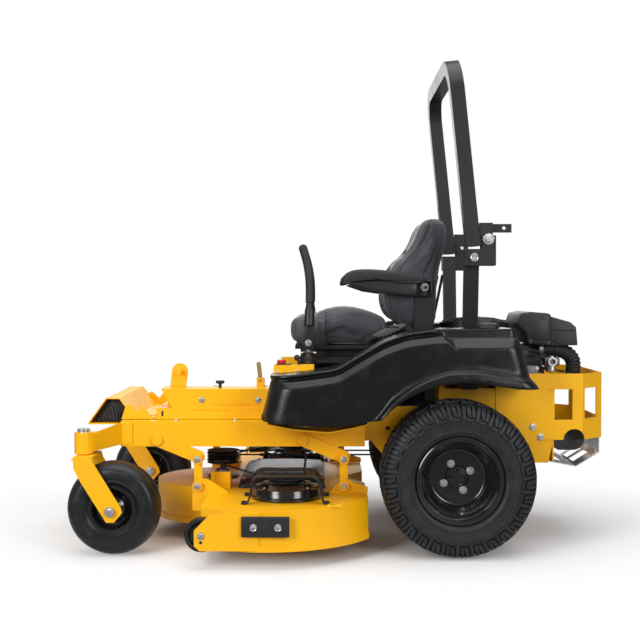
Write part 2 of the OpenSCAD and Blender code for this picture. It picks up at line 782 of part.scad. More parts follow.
module right_fuel_cap() { place() mirrored() fuel_cap(); }

main_frame();
floor_pan();
front_nose();
rear_frame();
engine_guard();
lower_guard();
left_pod();
right_pod();
engine_block();
engine_shroud();
air_cleaner();
muffler();
wheel_motors();
battery();
seat_plate();
rops_posts();
console();
frame_bolts();
left_tyre();
left_rim();
right_tyre();
right_rim();
left_fork();
left_caster_tyre();
left_caster_rim();
right_fork();
right_caster_tyre();
right_caster_rim();
left_lever_base();
left_lever();
right_lever_base();
right_lever();
seat_cushion();
seat_back();
seat_pan();
left_armrest();
right_armrest();
rops_hoop();
deck_shell();
deck_trim();
outriggers();
drive_belt();
left_spindle();
centre_spindle();
right_spindle();
crank_pulley();
front_lift_arms();
rear_lift_arms();
front_hangers();
rear_hangers();
lift_pedal();
chute();
left_roller();
right_roller();
brake_lever();
throttle();
clutch_switch();
height_knob();
left_fuel_cap();
right_fuel_cap();
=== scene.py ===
# %% [markdown]
# # Zero turn mower
# The steel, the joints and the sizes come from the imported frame. This script adds what a frame can't hold:
# moulded tanks, treaded tyres, padded vinyl, cast and pressed detail, and a real finish on every piece.

# %% Load the frame
import math

import bmesh
import bpy
from mathutils import Matrix, Vector


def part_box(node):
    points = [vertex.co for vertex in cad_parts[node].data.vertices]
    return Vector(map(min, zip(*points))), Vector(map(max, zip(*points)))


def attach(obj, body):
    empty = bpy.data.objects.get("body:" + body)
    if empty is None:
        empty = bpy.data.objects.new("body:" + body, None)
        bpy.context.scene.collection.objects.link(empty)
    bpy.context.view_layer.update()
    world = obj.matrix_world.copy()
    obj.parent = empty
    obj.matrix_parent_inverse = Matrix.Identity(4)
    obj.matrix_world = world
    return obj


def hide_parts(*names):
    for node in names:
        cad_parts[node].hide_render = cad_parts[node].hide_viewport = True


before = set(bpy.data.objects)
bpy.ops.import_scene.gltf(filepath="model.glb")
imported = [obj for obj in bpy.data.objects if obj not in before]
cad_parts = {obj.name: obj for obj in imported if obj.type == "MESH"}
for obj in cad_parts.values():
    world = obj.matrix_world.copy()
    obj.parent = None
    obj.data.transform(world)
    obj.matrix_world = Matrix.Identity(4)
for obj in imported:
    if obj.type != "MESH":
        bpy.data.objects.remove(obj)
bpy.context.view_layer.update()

print("nodes in the frame:", len(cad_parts))

# %% [markdown]
# Everything on a mower is laid out from the rear axle and the machine's centre plane, so the script finds
# both in the frame and gives places in metres forward of the axle, left of the centre plane, and above ground.

# %% Places worked out from the frame
def middle(node):
    low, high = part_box(node)
    return (low + high) / 2


AXLE = Vector((middle("left_tyre").x, (middle("left_tyre").y + middle("right_tyre").y) / 2, 0.0))
TRACK = middle("left_tyre").y - AXLE.y
REAR_R = middle("left_tyre").z
CASTER = middle("left_caster_tyre") - AXLE


def at(x, y, z):
    return AXLE + Vector((x, y, z))


print("rear axle at", tuple(round(c, 3) for c in AXLE), "track", round(TRACK, 3))

# %% [markdown]
# The view is a plain side elevation from the machine's left, from a long way off with a long lens, so lines
# stay nearly parallel. The camera comes first because every later choice is judged through it.

# %% Camera
camera = bpy.data.objects.new("camera", bpy.data.cameras.new("camera"))
bpy.context.scene.collection.objects.link(camera)
bpy.context.scene.camera = camera
camera.data.sensor_width = 36.0
camera.data.lens = 62.55
camera.location = at(0.528, 4.85, 1.01)
look = Vector((0.0018, -1.0, -0.0216))
camera.rotation_euler = look.to_track_quat("-Z", "Y").to_euler()

# %% [markdown]
# Black plastic and vinyl only read as shapes when something bright reflects in them. Four big soft lights
# do that: one overhead, one on the far side, and two tall ones on the camera's side that draw vertical bands
# on the tanks. The camera sees a white backdrop, and the shapes reflect a much dimmer one, so blacks stay black.

# %% Studio
def soft_light(name, place, target, size, power):
    data = bpy.data.lights.new(name, "AREA")
    data.shape = "RECTANGLE"
    data.size, data.size_y = size
    data.energy = power
    lamp = bpy.data.objects.new(name, data)
    bpy.context.scene.collection.objects.link(lamp)
    lamp.location = at(*place)
    lamp.rotation_euler = (at(*target) - lamp.location).to_track_quat("-Z", "Y").to_euler()


soft_light("overhead", (0.4, 0.6, 4.6), (0.4, 0.0, 0.4), (5.0, 4.0), 165)
soft_light("front_side", (3.6, 4.4, 2.3), (0.5, 0.0, 0.6), (1.6, 2.6), 165)
soft_light("rear_side", (-2.6, 4.6, 2.2), (0.2, 0.0, 0.6), (1.8, 2.6), 125)
soft_light("far_side", (0.5, -4.5, 2.6), (0.4, 0.0, 0.6), (4.0, 2.0), 70)

world = bpy.data.worlds.new("studio")
bpy.context.scene.world = world
world.use_nodes = True
backdrop = world.node_tree.nodes["Background"]
backdrop.inputs["Color"].default_value = (1.0, 1.0, 1.0, 1.0)
backdrop.inputs["Strength"].default_value = 1.0
dim = world.node_tree.nodes.new("ShaderNodeBackground")
dim.inputs["Color"].default_value = (1.0, 1.0, 1.0, 1.0)
dim.inputs["Strength"].default_value = 0.24
rays = world.node_tree.nodes.new("ShaderNodeLightPath")
either = world.node_tree.nodes.new("ShaderNodeMixShader")
world.node_tree.links.new(rays.outputs["Is Camera Ray"], either.inputs[0])
world.node_tree.links.new(dim.outputs[0], either.inputs[1])
world.node_tree.links.new(backdrop.outputs[0], either.inputs[2])
world.node_tree.links.new(either.outputs[0], world.node_tree.nodes["World Output"].inputs["Surface"])
bpy.context.scene.view_settings.view_transform = "Standard"

# %% [markdown]
# Shader maths reads best as plain expressions. This small class wraps one output socket, and every operator
# adds a Math node, so mask * 0.5 + 0.2 or 1 - mask builds the nodes it describes.

# %% Shader expressions
class Value:
    def __init__(self, finish, socket):
        self.finish = finish
        self.socket = socket

    def math(self, operation, *others):
        return self.finish.node("ShaderNodeMath", {"operation": operation}, [self, *others])

    def __add__(self, other):
        return self.math("ADD", other)

    def __sub__(self, other):
        return self.math("SUBTRACT", other)

    def __mul__(self, other):
        return self.math("MULTIPLY", other)

    def __truediv__(self, other):
        return self.math("DIVIDE", other)

    def __pow__(self, other):
        return self.math("POWER", other)

    def __rsub__(self, other):
        return self.finish.node("ShaderNodeMath", {"operation": "SUBTRACT"}, [other, self])

    __radd__ = __add__
    __rmul__ = __mul__

    def step(self, low, high):
        settings = {"interpolation_type": "SMOOTHSTEP"}
        return self.finish.node("ShaderNodeMapRange", settings, {"Value": self, "From Min": low, "From Max": high})


class Finish:
    """A material: a Principled shader, and the few nodes that feed it."""

    def __init__(self, name, color, roughness, metallic=0.0, coat=0.0, sheen=0.0):
        self.material = bpy.data.materials.new(name)
        self.material.use_nodes = True
        self.material.diffuse_color = (*color, 1.0)
        self.tree = self.material.node_tree
        self.shader = self.tree.nodes["Principled BSDF"]
        self.color = color
        self.set("Base Color", (*color, 1.0))
        self.set("Roughness", roughness)
        self.set("Metallic", metallic)
        self.set("Coat Weight", coat)
        self.set("Coat Roughness", 0.12)
        self.set("Specular IOR Level", 0.34)
        self.set("Sheen Weight", sheen)
        self.place = self.node("ShaderNodeTexCoord", {}, {}, "Object")

    def set(self, name, value):
        self.put(self.shader.inputs[name], value)

    def put(self, socket, value):
        if isinstance(value, Value):
            self.tree.links.new(value.socket, socket)
        else:
            socket.default_value = value

    def node(self, kind, settings, inputs, output=0):
        made = self.tree.nodes.new(kind)
        for key, value in settings.items():
            setattr(made, key, value)
        pairs = enumerate(inputs) if isinstance(inputs, list) else inputs.items()
        for key, value in pairs:
            self.put(made.inputs[key], value)
        return Value(self, made.outputs[output])

    def noise(self, scale, detail=2.0, stretch=None):
        where = self.place
        if stretch:
            where = self.node("ShaderNodeVectorMath", {"operation": "MULTIPLY"}, [self.place, stretch])
        inputs = {"Vector": where, "Scale": scale, "Detail": detail, "Roughness": 0.6}
        return self.node("ShaderNodeTexNoise", {}, inputs)

    def cells(self, scale, feature="F1"):
        inputs = {"Vector": self.place, "Scale": scale}
        return self.node("ShaderNodeTexVoronoi", {"feature": feature}, inputs, "Distance")

    def mix(self, factor, first, second):
        inputs = {0: factor, 6: (*first, 1.0), 7: (*second, 1.0)}
        return self.node("ShaderNodeMix", {"data_type": "RGBA"}, inputs, 2)

    def relief(self, height, distance, edge=0.0):
        inputs = {"Height": height, "Distance": distance, "Strength": 1.0}
        if edge:
            inputs["Normal"] = self.node("ShaderNodeBevel", {"samples": 4}, {"Radius": edge})
        self.set("Normal", self.node("ShaderNodeBump", {}, inputs))
        return self


# %% [markdown]
# The frame's yellow is a thick powder coat: very slightly orange-peeled, glossy, a touch duller where dust
# has settled. A bevel node softens the sheared plate edges, which on the real thing are ground and painted.

# %% Paint and plastic finishes
def powder_coat(name, color, roughness, coat, grain, edge=0.0018):
    finish = Finish(name, color, roughness, coat=coat)
    dust = finish.noise(3.5, 4.0).step(0.42, 0.75)
    finish.set("Base Color", finish.mix(dust, color, [c * 0.93 + 0.004 for c in color]))
    finish.set("Roughness", roughness + dust * 0.10)
    finish.relief(finish.noise(grain, 1.0), 0.00012, edge)
    return finish.material


def moulded(name, color, roughness, grain, depth, edge=0.003):
    finish = Finish(name, color, roughness)
    scuff = finish.noise(14.0, 5.0).step(0.45, 0.8)
    finish.set("Base Color", finish.mix(scuff, color, [c * 1.35 + 0.004 for c in color]))
    finish.set("Roughness", roughness + scuff * 0.12)
    finish.relief(finish.cells(grain), depth, edge)
    return finish.material


yellow = powder_coat("yellow_powder_coat", (0.96, 0.475, 0.0005), 0.40, 0.12, 420.0)
black_coat = powder_coat("black_textured_coat", (0.012, 0.012, 0.013), 0.42, 0.1, 700.0)
gloss_black = powder_coat("gloss_black_enamel", (0.010, 0.010, 0.011), 0.18, 0.6, 300.0)
tank_plastic = moulded("moulded_tank_black", (0.0055, 0.0055, 0.006), 0.26, 900.0, 0.00012)
cover_plastic = moulded("engine_cover_black", (0.020, 0.020, 0.023), 0.46, 1100.0, 0.0001)
soft_rubber = moulded("soft_grip_rubber", (0.016, 0.016, 0.018), 0.55, 700.0, 0.0002)

# %% [markdown]
# Bare metal shows its making: bolts are bright zinc with a faint cloudiness, castings are rough and dull,
# and the bent guard plate is bright with lines of rolling grain.

# %% Metal finishes
def bare_metal(name, color, roughness, grain, depth, stretch=None):
    finish = Finish(name, color, roughness, metallic=1.0)
    cloud = finish.noise(40.0, 4.0).step(0.35, 0.75)
    finish.set("Base Color", finish.mix(cloud, color, [c * 0.8 for c in color]))
    finish.set("Roughness", roughness + cloud * 0.15)
    finish.relief(finish.noise(grain, 3.0, stretch), depth, 0.0008)
    return finish.material


zinc = bare_metal("bright_zinc", (0.80, 0.80, 0.79), 0.24, 300.0, 0.00005)
bright_plate = bare_metal("rolled_bright_plate", (0.78, 0.79, 0.80), 0.30, 260.0, 0.00006, (0.05, 1.0, 1.0))
cast = bare_metal("cast_housing", (0.16, 0.16, 0.17), 0.50, 160.0, 0.0004)
dark_steel = bare_metal("dark_steel", (0.07, 0.07, 0.075), 0.42, 240.0, 0.0001)
amber_zinc = bare_metal("amber_passivated_zinc", (0.62, 0.42, 0.17), 0.35, 300.0, 0.00005)

# %% [markdown]
# Tyre rubber is matt charcoal with a paler bloom in scattered patches. Seat vinyl is charcoal too, but its grain
# of small soft cells and its low sheen make it read as upholstery.

# %% Rubber and vinyl finishes
def rubber(name, color, roughness, grain):
    finish = Finish(name, color, roughness)
    bloom = finish.noise(22.0, 6.0).step(0.40, 0.85)
    finish.set("Base Color", finish.mix(bloom, color, [c * 1.7 + 0.006 for c in color]))
    finish.set("Roughness", roughness + bloom * 0.12)
    finish.relief(finish.noise(grain, 4.0), 0.0004)
    return finish.material


def vinyl(name, color, roughness):
    finish = Finish(name, color, roughness, sheen=0.15)
    pores = finish.cells(420.0, "SMOOTH_F1")
    tone = finish.noise(9.0, 3.0).step(0.35, 0.8)
    finish.set("Base Color", finish.mix(tone, color, [c * 1.25 for c in color]))
    finish.set("Roughness", roughness + tone * 0.10)
    finish.relief(pores + finish.noise(60.0, 3.0) * 0.6, 0.0005)
    return finish.material


tyre_rubber = rubber("tyre_rubber", (0.013, 0.014, 0.016), 0.50, 500.0)
caster_rubber = rubber("caster_rubber", (0.009, 0.010, 0.011), 0.34, 350.0)
belt_rubber = rubber("belt_rubber", (0.018, 0.018, 0.018), 0.7, 600.0)
seat_vinyl = vinyl("seat_vinyl", (0.060, 0.062, 0.068), 0.44)
# a darker copy of the seat vinyl for the sides of the pads and their piping: painted shade
shaded_side_vinyl = vinyl("seat_shaded_side_vinyl", (0.032, 0.034, 0.040), 0.46)

# %% [markdown]
# The floor is only there to catch the shadow and stop the machine floating.

# %% Floor
def studio_floor():
    mesh = bpy.data.meshes.new("studio_floor")
    size = 6.0
    corners = [(-size, -size, 0), (size, -size, 0), (size, size, 0), (-size, size, 0)]
    mesh.from_pydata([Vector(c) - Vector((0, 0, 0.0005)) for c in corners], [], [(0, 1, 2, 3)])
    floor = bpy.data.objects.new("studio_floor", mesh)
    bpy.context.scene.collection.objects.link(floor)
    finish = Finish("studio_floor", (0.86, 0.86, 0.87), 0.6)
    shade = finish.noise(0.8, 2.0)
    finish.set("Base Color", finish.mix(shade, (0.84, 0.84, 0.85), (0.88, 0.88, 0.89)))
    flat = finish.node("ShaderNodeVectorMath", {"operation": "MULTIPLY"}, [finish.place, (0.62, 0.95, 0.0)])
    away = finish.node("ShaderNodeVectorMath", {"operation": "LENGTH"}, [flat], "Value")
    finish.set("Alpha", 1 - away.step(0.55, 1.35))
    mesh.materials.append(finish.material)


studio_floor()

# %% [markdown]
# Pieces of the frame whose shape is already right keep their mesh and only take a finish. Each finish lists
# the nodes that wear it.

# %% Finishes for the frame's own pieces
FINISHES = {
    yellow: "main_frame outriggers floor_pan front_nose rear_frame engine_guard console left_fork right_fork "
            "deck_shell front_lift_arms rear_lift_arms front_hangers rear_hangers lift_pedal",
    black_coat: "rops_posts rops_hoop seat_plate seat_pan deck_trim left_lever right_lever chute muffler",
    gloss_black: "left_rim right_rim left_caster_rim right_caster_rim",
    tank_plastic: "left_pod right_pod left_fuel_cap right_fuel_cap",
    cover_plastic: "air_cleaner engine_shroud throttle clutch_switch height_knob battery",
    soft_rubber: "left_armrest right_armrest left_roller right_roller",
    bright_plate: "lower_guard",
    zinc: "frame_bolts",
    cast: "engine_block wheel_motors",
    dark_steel: "left_spindle centre_spindle right_spindle crank_pulley left_lever_base right_lever_base",
    amber_zinc: "brake_lever",
    tyre_rubber: "left_tyre right_tyre",
    caster_rubber: "left_caster_tyre right_caster_tyre",
    belt_rubber: "drive_belt",
    seat_vinyl: "seat_cushion seat_back",
}


def wear(node, material):
    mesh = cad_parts[node].data
    mesh.materials.clear()
    mesh.materials.append(material)


for material, names in FINISHES.items():
    for node in names.split():
        wear(node, material)

# %% [markdown]
# Most added pieces come from a few shapes: a profile turned round an axle, a stack of outlines skinned
# together, a bar along a path, and a folded or cut plate. Each helper makes a closed mesh at rest in place.

# %% Mesh helpers
def piece(name, verts, faces, material, smooth=True):
    mesh = bpy.data.meshes.new(name)
    mesh.from_pydata([tuple(v) for v in verts], [], faces)
    bm = bmesh.new()
    bm.from_mesh(mesh)
    bmesh.ops.remove_doubles(bm, verts=bm.verts, dist=1e-6)
    bmesh.ops.recalc_face_normals(bm, faces=bm.faces)
    bm.to_mesh(mesh)
    bm.free()
    mesh.materials.append(material)
    made = bpy.data.objects.new(name, mesh)
    bpy.context.scene.collection.objects.link(made)
    if smooth:
        mesh.polygons.foreach_set("use_smooth", [True] * len(mesh.polygons))
        mesh.set_sharp_from_angle(angle=math.radians(38))
    return made


def bake_modifiers(made):
    bpy.context.view_layer.objects.active = made
    for modifier in list(made.modifiers):
        with bpy.context.temp_override(object=made, active_object=made, selected_objects=[made]):
            bpy.ops.object.modifier_apply(modifier=modifier.name)
    return made


def rounded(made, width, segments=2, angle=35):
    """Rounds the sharp edges with a bevel."""
    bevel = made.modifiers.new("edges", "BEVEL")
    bevel.width = width
    bevel.segments = segments
    bevel.limit_method = "ANGLE"
    bevel.angle_limit = math.radians(angle)
    bevel.harden_normals = False
    bake_modifiers(made)
    made.data.polygons.foreach_set("use_smooth", [True] * len(made.data.polygons))
    made.data.set_sharp_from_angle(angle=math.radians(38))
    return made


def join(name, parts):
    """Makes one object of several, keeping each one's material."""
    bm = bmesh.new()
    materials = []
    for part in parts:
        start = len(bm.faces)
        bm.from_mesh(part.data)
        bm.faces.ensure_lookup_table()
        slots = [m for m in part.data.materials]
        for material in slots:
            if material not in materials:
                materials.append(material)
        for face in bm.faces[start:]:
            face.material_index = materials.index(slots[face.material_index])
    mesh = bpy.data.meshes.new(name)
    bm.to_mesh(mesh)
    bm.free()
    for material in materials:
        mesh.materials.append(material)
    made = bpy.data.objects.new(name, mesh)
    bpy.context.scene.collection.objects.link(made)
    for part in parts:
        bpy.data.objects.remove(part)
    mesh.set_sharp_from_angle(angle=math.radians(38))
    return made


def mirrored_copy(made, name):
    """The same piece on the other side of the machine's centre plane."""
    mesh = made.data.copy()
    mesh.transform(Matrix.Translation((0, 2 * AXLE.y, 0)) @ Matrix.Scale(-1, 4, (0, 1, 0)))
    mesh.flip_normals()
    twin = bpy.data.objects.new(name, mesh)
    bpy.context.scene.collection.objects.link(twin)
    return twin


def skin(name, rings, material, closed=True, caps=True):
    """Skins a stack of rings, each the same number of points."""
    count = len(rings[0])
    verts = [v for ring in rings for v in ring]
    faces = []
    for row in range(len(rings) - 1):
        for i in range(count if closed else count - 1):
            a, b = row * count + i, row * count + (i + 1) % count
            faces.append((a, b, b + count, a + count))
    if caps:
        faces.append(tuple(range(count))[::-1])
        last = (len(rings) - 1) * count
        faces.append(tuple(range(last, last + count)))
    return piece(name, verts, faces, material)


def turned(name, centre, profile, material, steps=96):
    """A closed profile of (radius, y) points turned round an axle along Y."""
    rings = []
    for k in range(steps):
        a = 2 * math.pi * k / steps
        rings.append([centre + Vector((r * math.cos(a), y, r * math.sin(a))) for r, y in profile])
    rings.append(rings[0])
    return skin(name, rings, material, caps=False)


def upright(name, centre, profile, material, steps=64):
    """A closed profile of (radius, z) points turned round a vertical line."""
    rings = []
    for k in range(steps):
        a = 2 * math.pi * k / steps
        rings.append([centre + Vector((r * math.cos(a), r * math.sin(a), z)) for r, z in profile])
    rings.append(rings[0])
    return skin(name, rings, material, caps=False)


def smooth_path(points, steps=8):
    """A soft curve through a few points."""
    points = [Vector(p) for p in points]
    ends = [points[0] * 2 - points[1], *points, points[-1] * 2 - points[-2]]
    path = []
    for i in range(1, len(ends) - 2):
        p0, p1, p2, p3 = ends[i - 1 : i + 3]
        for k in range(steps):
            t = k / steps
            path.append(0.5 * ((2 * p1) + (p2 - p0) * t + (2 * p0 - 5 * p1 + 4 * p2 - p3) * t * t
                               + (3 * p1 - p0 - 3 * p2 + p3) * t ** 3))
    return path + [points[-1]]


def bar(name, path, radius, material, sides=16):
    """A round bar along a path; radius is one number or one for each point."""
    path = [Vector(p) for p in path]
    radii = radius if isinstance(radius, list) else [radius] * len(path)
    tangent = (path[1] - path[0]).normalized()
    across = tangent.orthogonal().normalized()
    rings = []
    for i, point in enumerate(path):
        after = path[min(i + 1, len(path) - 1)]
        before = path[max(i - 1, 0)]
        turn = tangent.rotation_difference((after - before).normalized())
        across = turn @ across
        tangent = turn @ tangent
        side = tangent.cross(across)
        angles = [2 * math.pi * k / sides for k in range(sides)]
        rings.append([point + (across * math.cos(a) + side * math.sin(a)) * radii[i] for a in angles])
    return skin(name, rings, material)


def plate(name, outline, y0, y1, material, bevel=0.0):
    """An outline of (x, z) points as a plate from y0 to y1."""
    rings = [[at(x, y, z) for x, z in outline] for y in (y0, y1)]
    made = skin(name, rings, material)
    return rounded(made, bevel) if bevel else made


def slab(name, low, high, material, bevel=0.002, segments=2):
    """A box with rounded edges between two corners."""
    (x0, y0, z0), (x1, y1, z1) = low, high
    outline = [(x0, z0), (x1, z0), (x1, z1), (x0, z1)]
    rings = [[at(x, y, z) for x, z in outline] for y in (y0, y1)]
    made = skin(name, rings, material)
    return rounded(made, bevel, segments)


def hex_bolt(name, place, direction, size, material, washer=True):
    """A bolt head with its chamfer and, if asked, a washer, facing along direction."""
    r = size / 2
    turn = Vector((0, 0, 1)).rotation_difference(Vector(direction)).to_matrix().to_4x4()
    rings = []
    for radius, z, flat in ((r * 1.05, 0, 6), (r * 1.05, r * 0.62, 6), (r * 0.92, r * 0.74, 6),
                            (r * 0.5, r * 0.74, 6)):
        rings.append([Vector((radius * math.cos(math.pi * k / 3), radius * math.sin(math.pi * k / 3), z))
                      for k in range(flat)])
    head = skin(name, rings, material)
    parts = [head]
    if washer:
        disc = [(0.001, 0), (r * 1.45, 0), (r * 1.5, r * 0.06), (r * 1.45, r * 0.2), (0.001, r * 0.2)]
        parts.append(upright(name + "_washer", Vector((0, 0, 0)), disc, material, 32))
        head.data.transform(Matrix.Translation((0, 0, r * 0.2)))
    made = join(name, parts)
    made.data.transform(Matrix.Translation(at(*place)) @ turn)
    return made

# %% [markdown]
# The drive tyre is a ribbed turf tyre: a flat crown cut into rows of lugs, and shoulder blocks with a hook
# cut into them that wrap onto the sidewall. The carcass is turned, and each lug is a small block bent round
# it, so the tread is real geometry and throws its own shadow.

# %% Drive tyres
TYRE_W = 0.147
CROWN = REAR_R - 0.010


def carcass_profile(r, half, bead, flange):
    """The section of a tyre from one bead over the crown to the other, with raised rings on its wall."""
    wall = [(bead, 0.0), (flange + 0.002, 0.000), (flange + 0.010, 0.013), (flange + 0.020, 0.0165),
            (flange + 0.022, 0.0195), (flange + 0.028, 0.0200), (flange + 0.031, 0.0175)]
    side = [(radius, -(half - 0.021 + y)) for radius, y in wall]
    belly = flange + (r - flange) * 0.62
    side += [(belly, -half), (r - 0.045, -half + 0.003), (r - 0.022, -half + 0.012),
             (r - 0.006, -half + 0.032), (r, -half * 0.55), (r + 0.001, 0.0)]
    inner = [(r - 0.02, -half * 0.6), (flange + 0.02, -half + 0.03), (bead, -half + 0.045)]
    outer = side + [(radius, -y) for radius, y in side[-2::-1]]
    return outer + [(radius, -y) for radius, y in inner[::-1]] + inner


def bent_block(centre, radius, height, angle0, angle1, y0, y1, skew=0.0, drop0=0.0, drop1=0.0):
    """A tread block on the crown, as eight corners. drop lowers an end towards the wall."""
    rings = []
    for y, drop in ((y0, drop0), (y1, drop1)):
        ring = []
        for angle, lift in ((angle0, 0), (angle1, 0), (angle1, height), (angle0, height)):
            shift = skew * (y - y0)
            rad = radius + lift - drop
            ring.append(centre + Vector((rad * math.cos(angle + shift), y, rad * math.sin(angle + shift))))
        rings.append(ring)
    return rings


def blocks(name, all_rings, material):
    verts, faces = [], []
    for rings in all_rings:
        base = len(verts)
        verts += [v for ring in rings for v in ring]
        for row in range(len(rings) - 1):
            for i in range(4):
                a, b = base + row * 4 + i, base + row * 4 + (i + 1) % 4
                faces.append((a, b, b + 4, a + 4))
        faces.append((base + 3, base + 2, base + 1, base))
        last = base + (len(rings) - 1) * 4
        faces.append((last, last + 1, last + 2, last + 3))
    made = piece(name, verts, faces, material, smooth=False)
    return rounded(made, 0.0014, 1)


# how far along the shoulder each rib of a tread block runs, and its share of the block's width
SHOULDER_RIBS = [(0.0, 1.0, 0.04, 0.25), (0.0, 0.27, 0.25, 0.90), (0.27, 0.84, 0.70, 0.90),
                 (0.36, 0.74, 0.34, 0.61), (0.74, 0.84, 0.46, 0.70), (0.92, 1.0, 0.34, 0.90)]
SHOULDER = [(0.100, CROWN - 0.003), (0.121, CROWN - 0.007), (0.1345, CROWN - 0.018), (0.1415, CROWN - 0.036),
            (0.1450, CROWN - 0.058)]


def shoulder(u):
    """A place across the tyre's shoulder, and which way its face looks."""
    place = min(max(u, 0.0), 1.0) * (len(SHOULDER) - 1)
    i = min(int(place), len(SHOULDER) - 2)
    (y0, r0), (y1, r1) = SHOULDER[i], SHOULDER[i + 1]
    t = place - i
    lean = math.radians(8 + 76 * min(max(u, 0.0), 1.0))
    return y0 + (y1 - y0) * t, r0 + (r1 - r0) * t, math.sin(lean), math.cos(lean)


def drive_tyre(name, side):
    centre = at(0, side * TRACK, REAR_R)
    carcass = turned(name + "_carcass", centre, carcass_profile(CROWN, TYRE_W, 0.1535, 0.1665), tyre_rubber, 120)
    lugs = []
    count = 30
    pitch = 2 * math.pi / count
    for k in range(count):
        a = k * pitch
        for s in (-1, 1):
            half = a + (pitch / 2 if s > 0 else 0)
            # each shoulder block is cut into ribs and a hook by narrow grooves
            for u0, u1, start, end in SHOULDER_RIBS:
                rings = []
                for step in range(5):
                    y, radius, ny, nr = shoulder(u0 + (u1 - u0) * step / 4)
                    ring = []
                    for t, lift in ((start, -0.006), (end, -0.006), (end, 0.0085), (start, 0.0085)):
                        angle = half + (t + 0.10 * s * step / 4) * pitch
                        rad = radius + nr * lift
                        ring.append(centre + Vector((rad * math.cos(angle), s * (y + ny * lift),
                                                     rad * math.sin(angle))))
                    rings.append(ring)
                lugs.append(rings)
            lugs.append(bent_block(centre, CROWN - 0.003, 0.0125, half + 0.10 * pitch, half + 0.86 * pitch,
                                   s * 0.040, s * 0.060, 1.2 * s))
        lugs.append(bent_block(centre, CROWN - 0.003, 0.0125, a, a + 0.78 * pitch, -0.013, 0.013, 2.0))
        lugs.append(bent_block(centre, CROWN - 0.003, 0.0125, a + 0.2 * pitch, a + 0.7 * pitch, -0.036, -0.019, 1.0))
        lugs.append(bent_block(centre, CROWN - 0.003, 0.0125, a + 0.2 * pitch, a + 0.7 * pitch, 0.019, 0.036, -1.0))
    tread = blocks(name + "_tread", lugs, tyre_rubber)
    tyre = join(name + "_rubber", [carcass, tread])
    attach(tyre, name.replace("tyre", "wheel"))
    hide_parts(name)
    return len(lugs)


print("lugs on each drive tyre:", drive_tyre("left_tyre", 1), drive_tyre("right_tyre", -1))

# %% [markdown]
# The wheel disc is a deep pressing: from the flange it steps in through rounded rings to a flat middle,
# where four nuts hold it round a plain black hub cap. Turning one profile gives every ring its own glint.

# %% Drive wheel discs
def wheel_disc(name, side):
    centre = at(0, side * TRACK, REAR_R)
    profile = [(0.152, 0.125), (0.158, 0.131), (0.1665, 0.1335), (0.1672, 0.1372), (0.163, 0.1395),
               (0.152, 0.1375), (0.1475, 0.128), (0.1445, 0.105), (0.138, 0.085), (0.1365, 0.072),
               (0.1330, 0.064), (0.122, 0.058), (0.1185, 0.050), (0.116, 0.036), (0.110, 0.026),
               (0.100, 0.022), (0.093, 0.024), (0.086, 0.0215), (0.046, 0.0205), (0.044, 0.017),
               (0.044, 0.013), (0.095, 0.013), (0.108, 0.018), (0.113, 0.034), (0.116, 0.052),
               (0.130, 0.070), (0.134, 0.086), (0.140, 0.105), (0.144, 0.11), (0.145, -0.12),
               (0.147, -0.134), (0.166, -0.1375), (0.1665, -0.1335), (0.152, -0.125)]
    profile = [(r, side * y) for r, y in profile]
    rim = turned(name + "_disc", centre, profile, gloss_black, 128)
    barrel = [(0.001, -0.046), (0.042, -0.046), (0.042, 0.022), (0.0295, 0.024), (0.0295, 0.042),
              (0.027, 0.0455), (0.020, 0.0465), (0.001, 0.0465)]
    cap = turned(name + "_cap", centre, [(r, side * y) for r, y in barrel], gloss_black, 64)
    parts = [rim, cap]
    for k in range(4):
        a = math.radians(-25 + 90 * k)
        out = Vector((0.05715 * math.cos(a), side * 0.0205, 0.05715 * math.sin(a)))
        nut = hex_bolt(f"{name}_nut_{k}", centre - AXLE + out, (0, side, 0), 0.021, zinc)
        parts.append(nut)
    valve = bar(name + "_valve", [centre + Vector((0.128, side * 0.06, 0.012)),
                                  centre + Vector((0.120, side * 0.092, 0.012))], [0.0045, 0.003], soft_rubber, 12)
    parts.append(valve)
    disc = join(name + "_wheel", parts)
    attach(disc, name.replace("rim", "wheel"))
    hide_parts(name)


wheel_disc("left_rim", 1)
wheel_disc("right_rim", -1)

# %% [markdown]
# Front tyres are smooth and nearly round in section, with a fine moulding line along the middle and a pair of
# rings near the bead. Their rims are two pressed halves with a bearing tube through the middle.

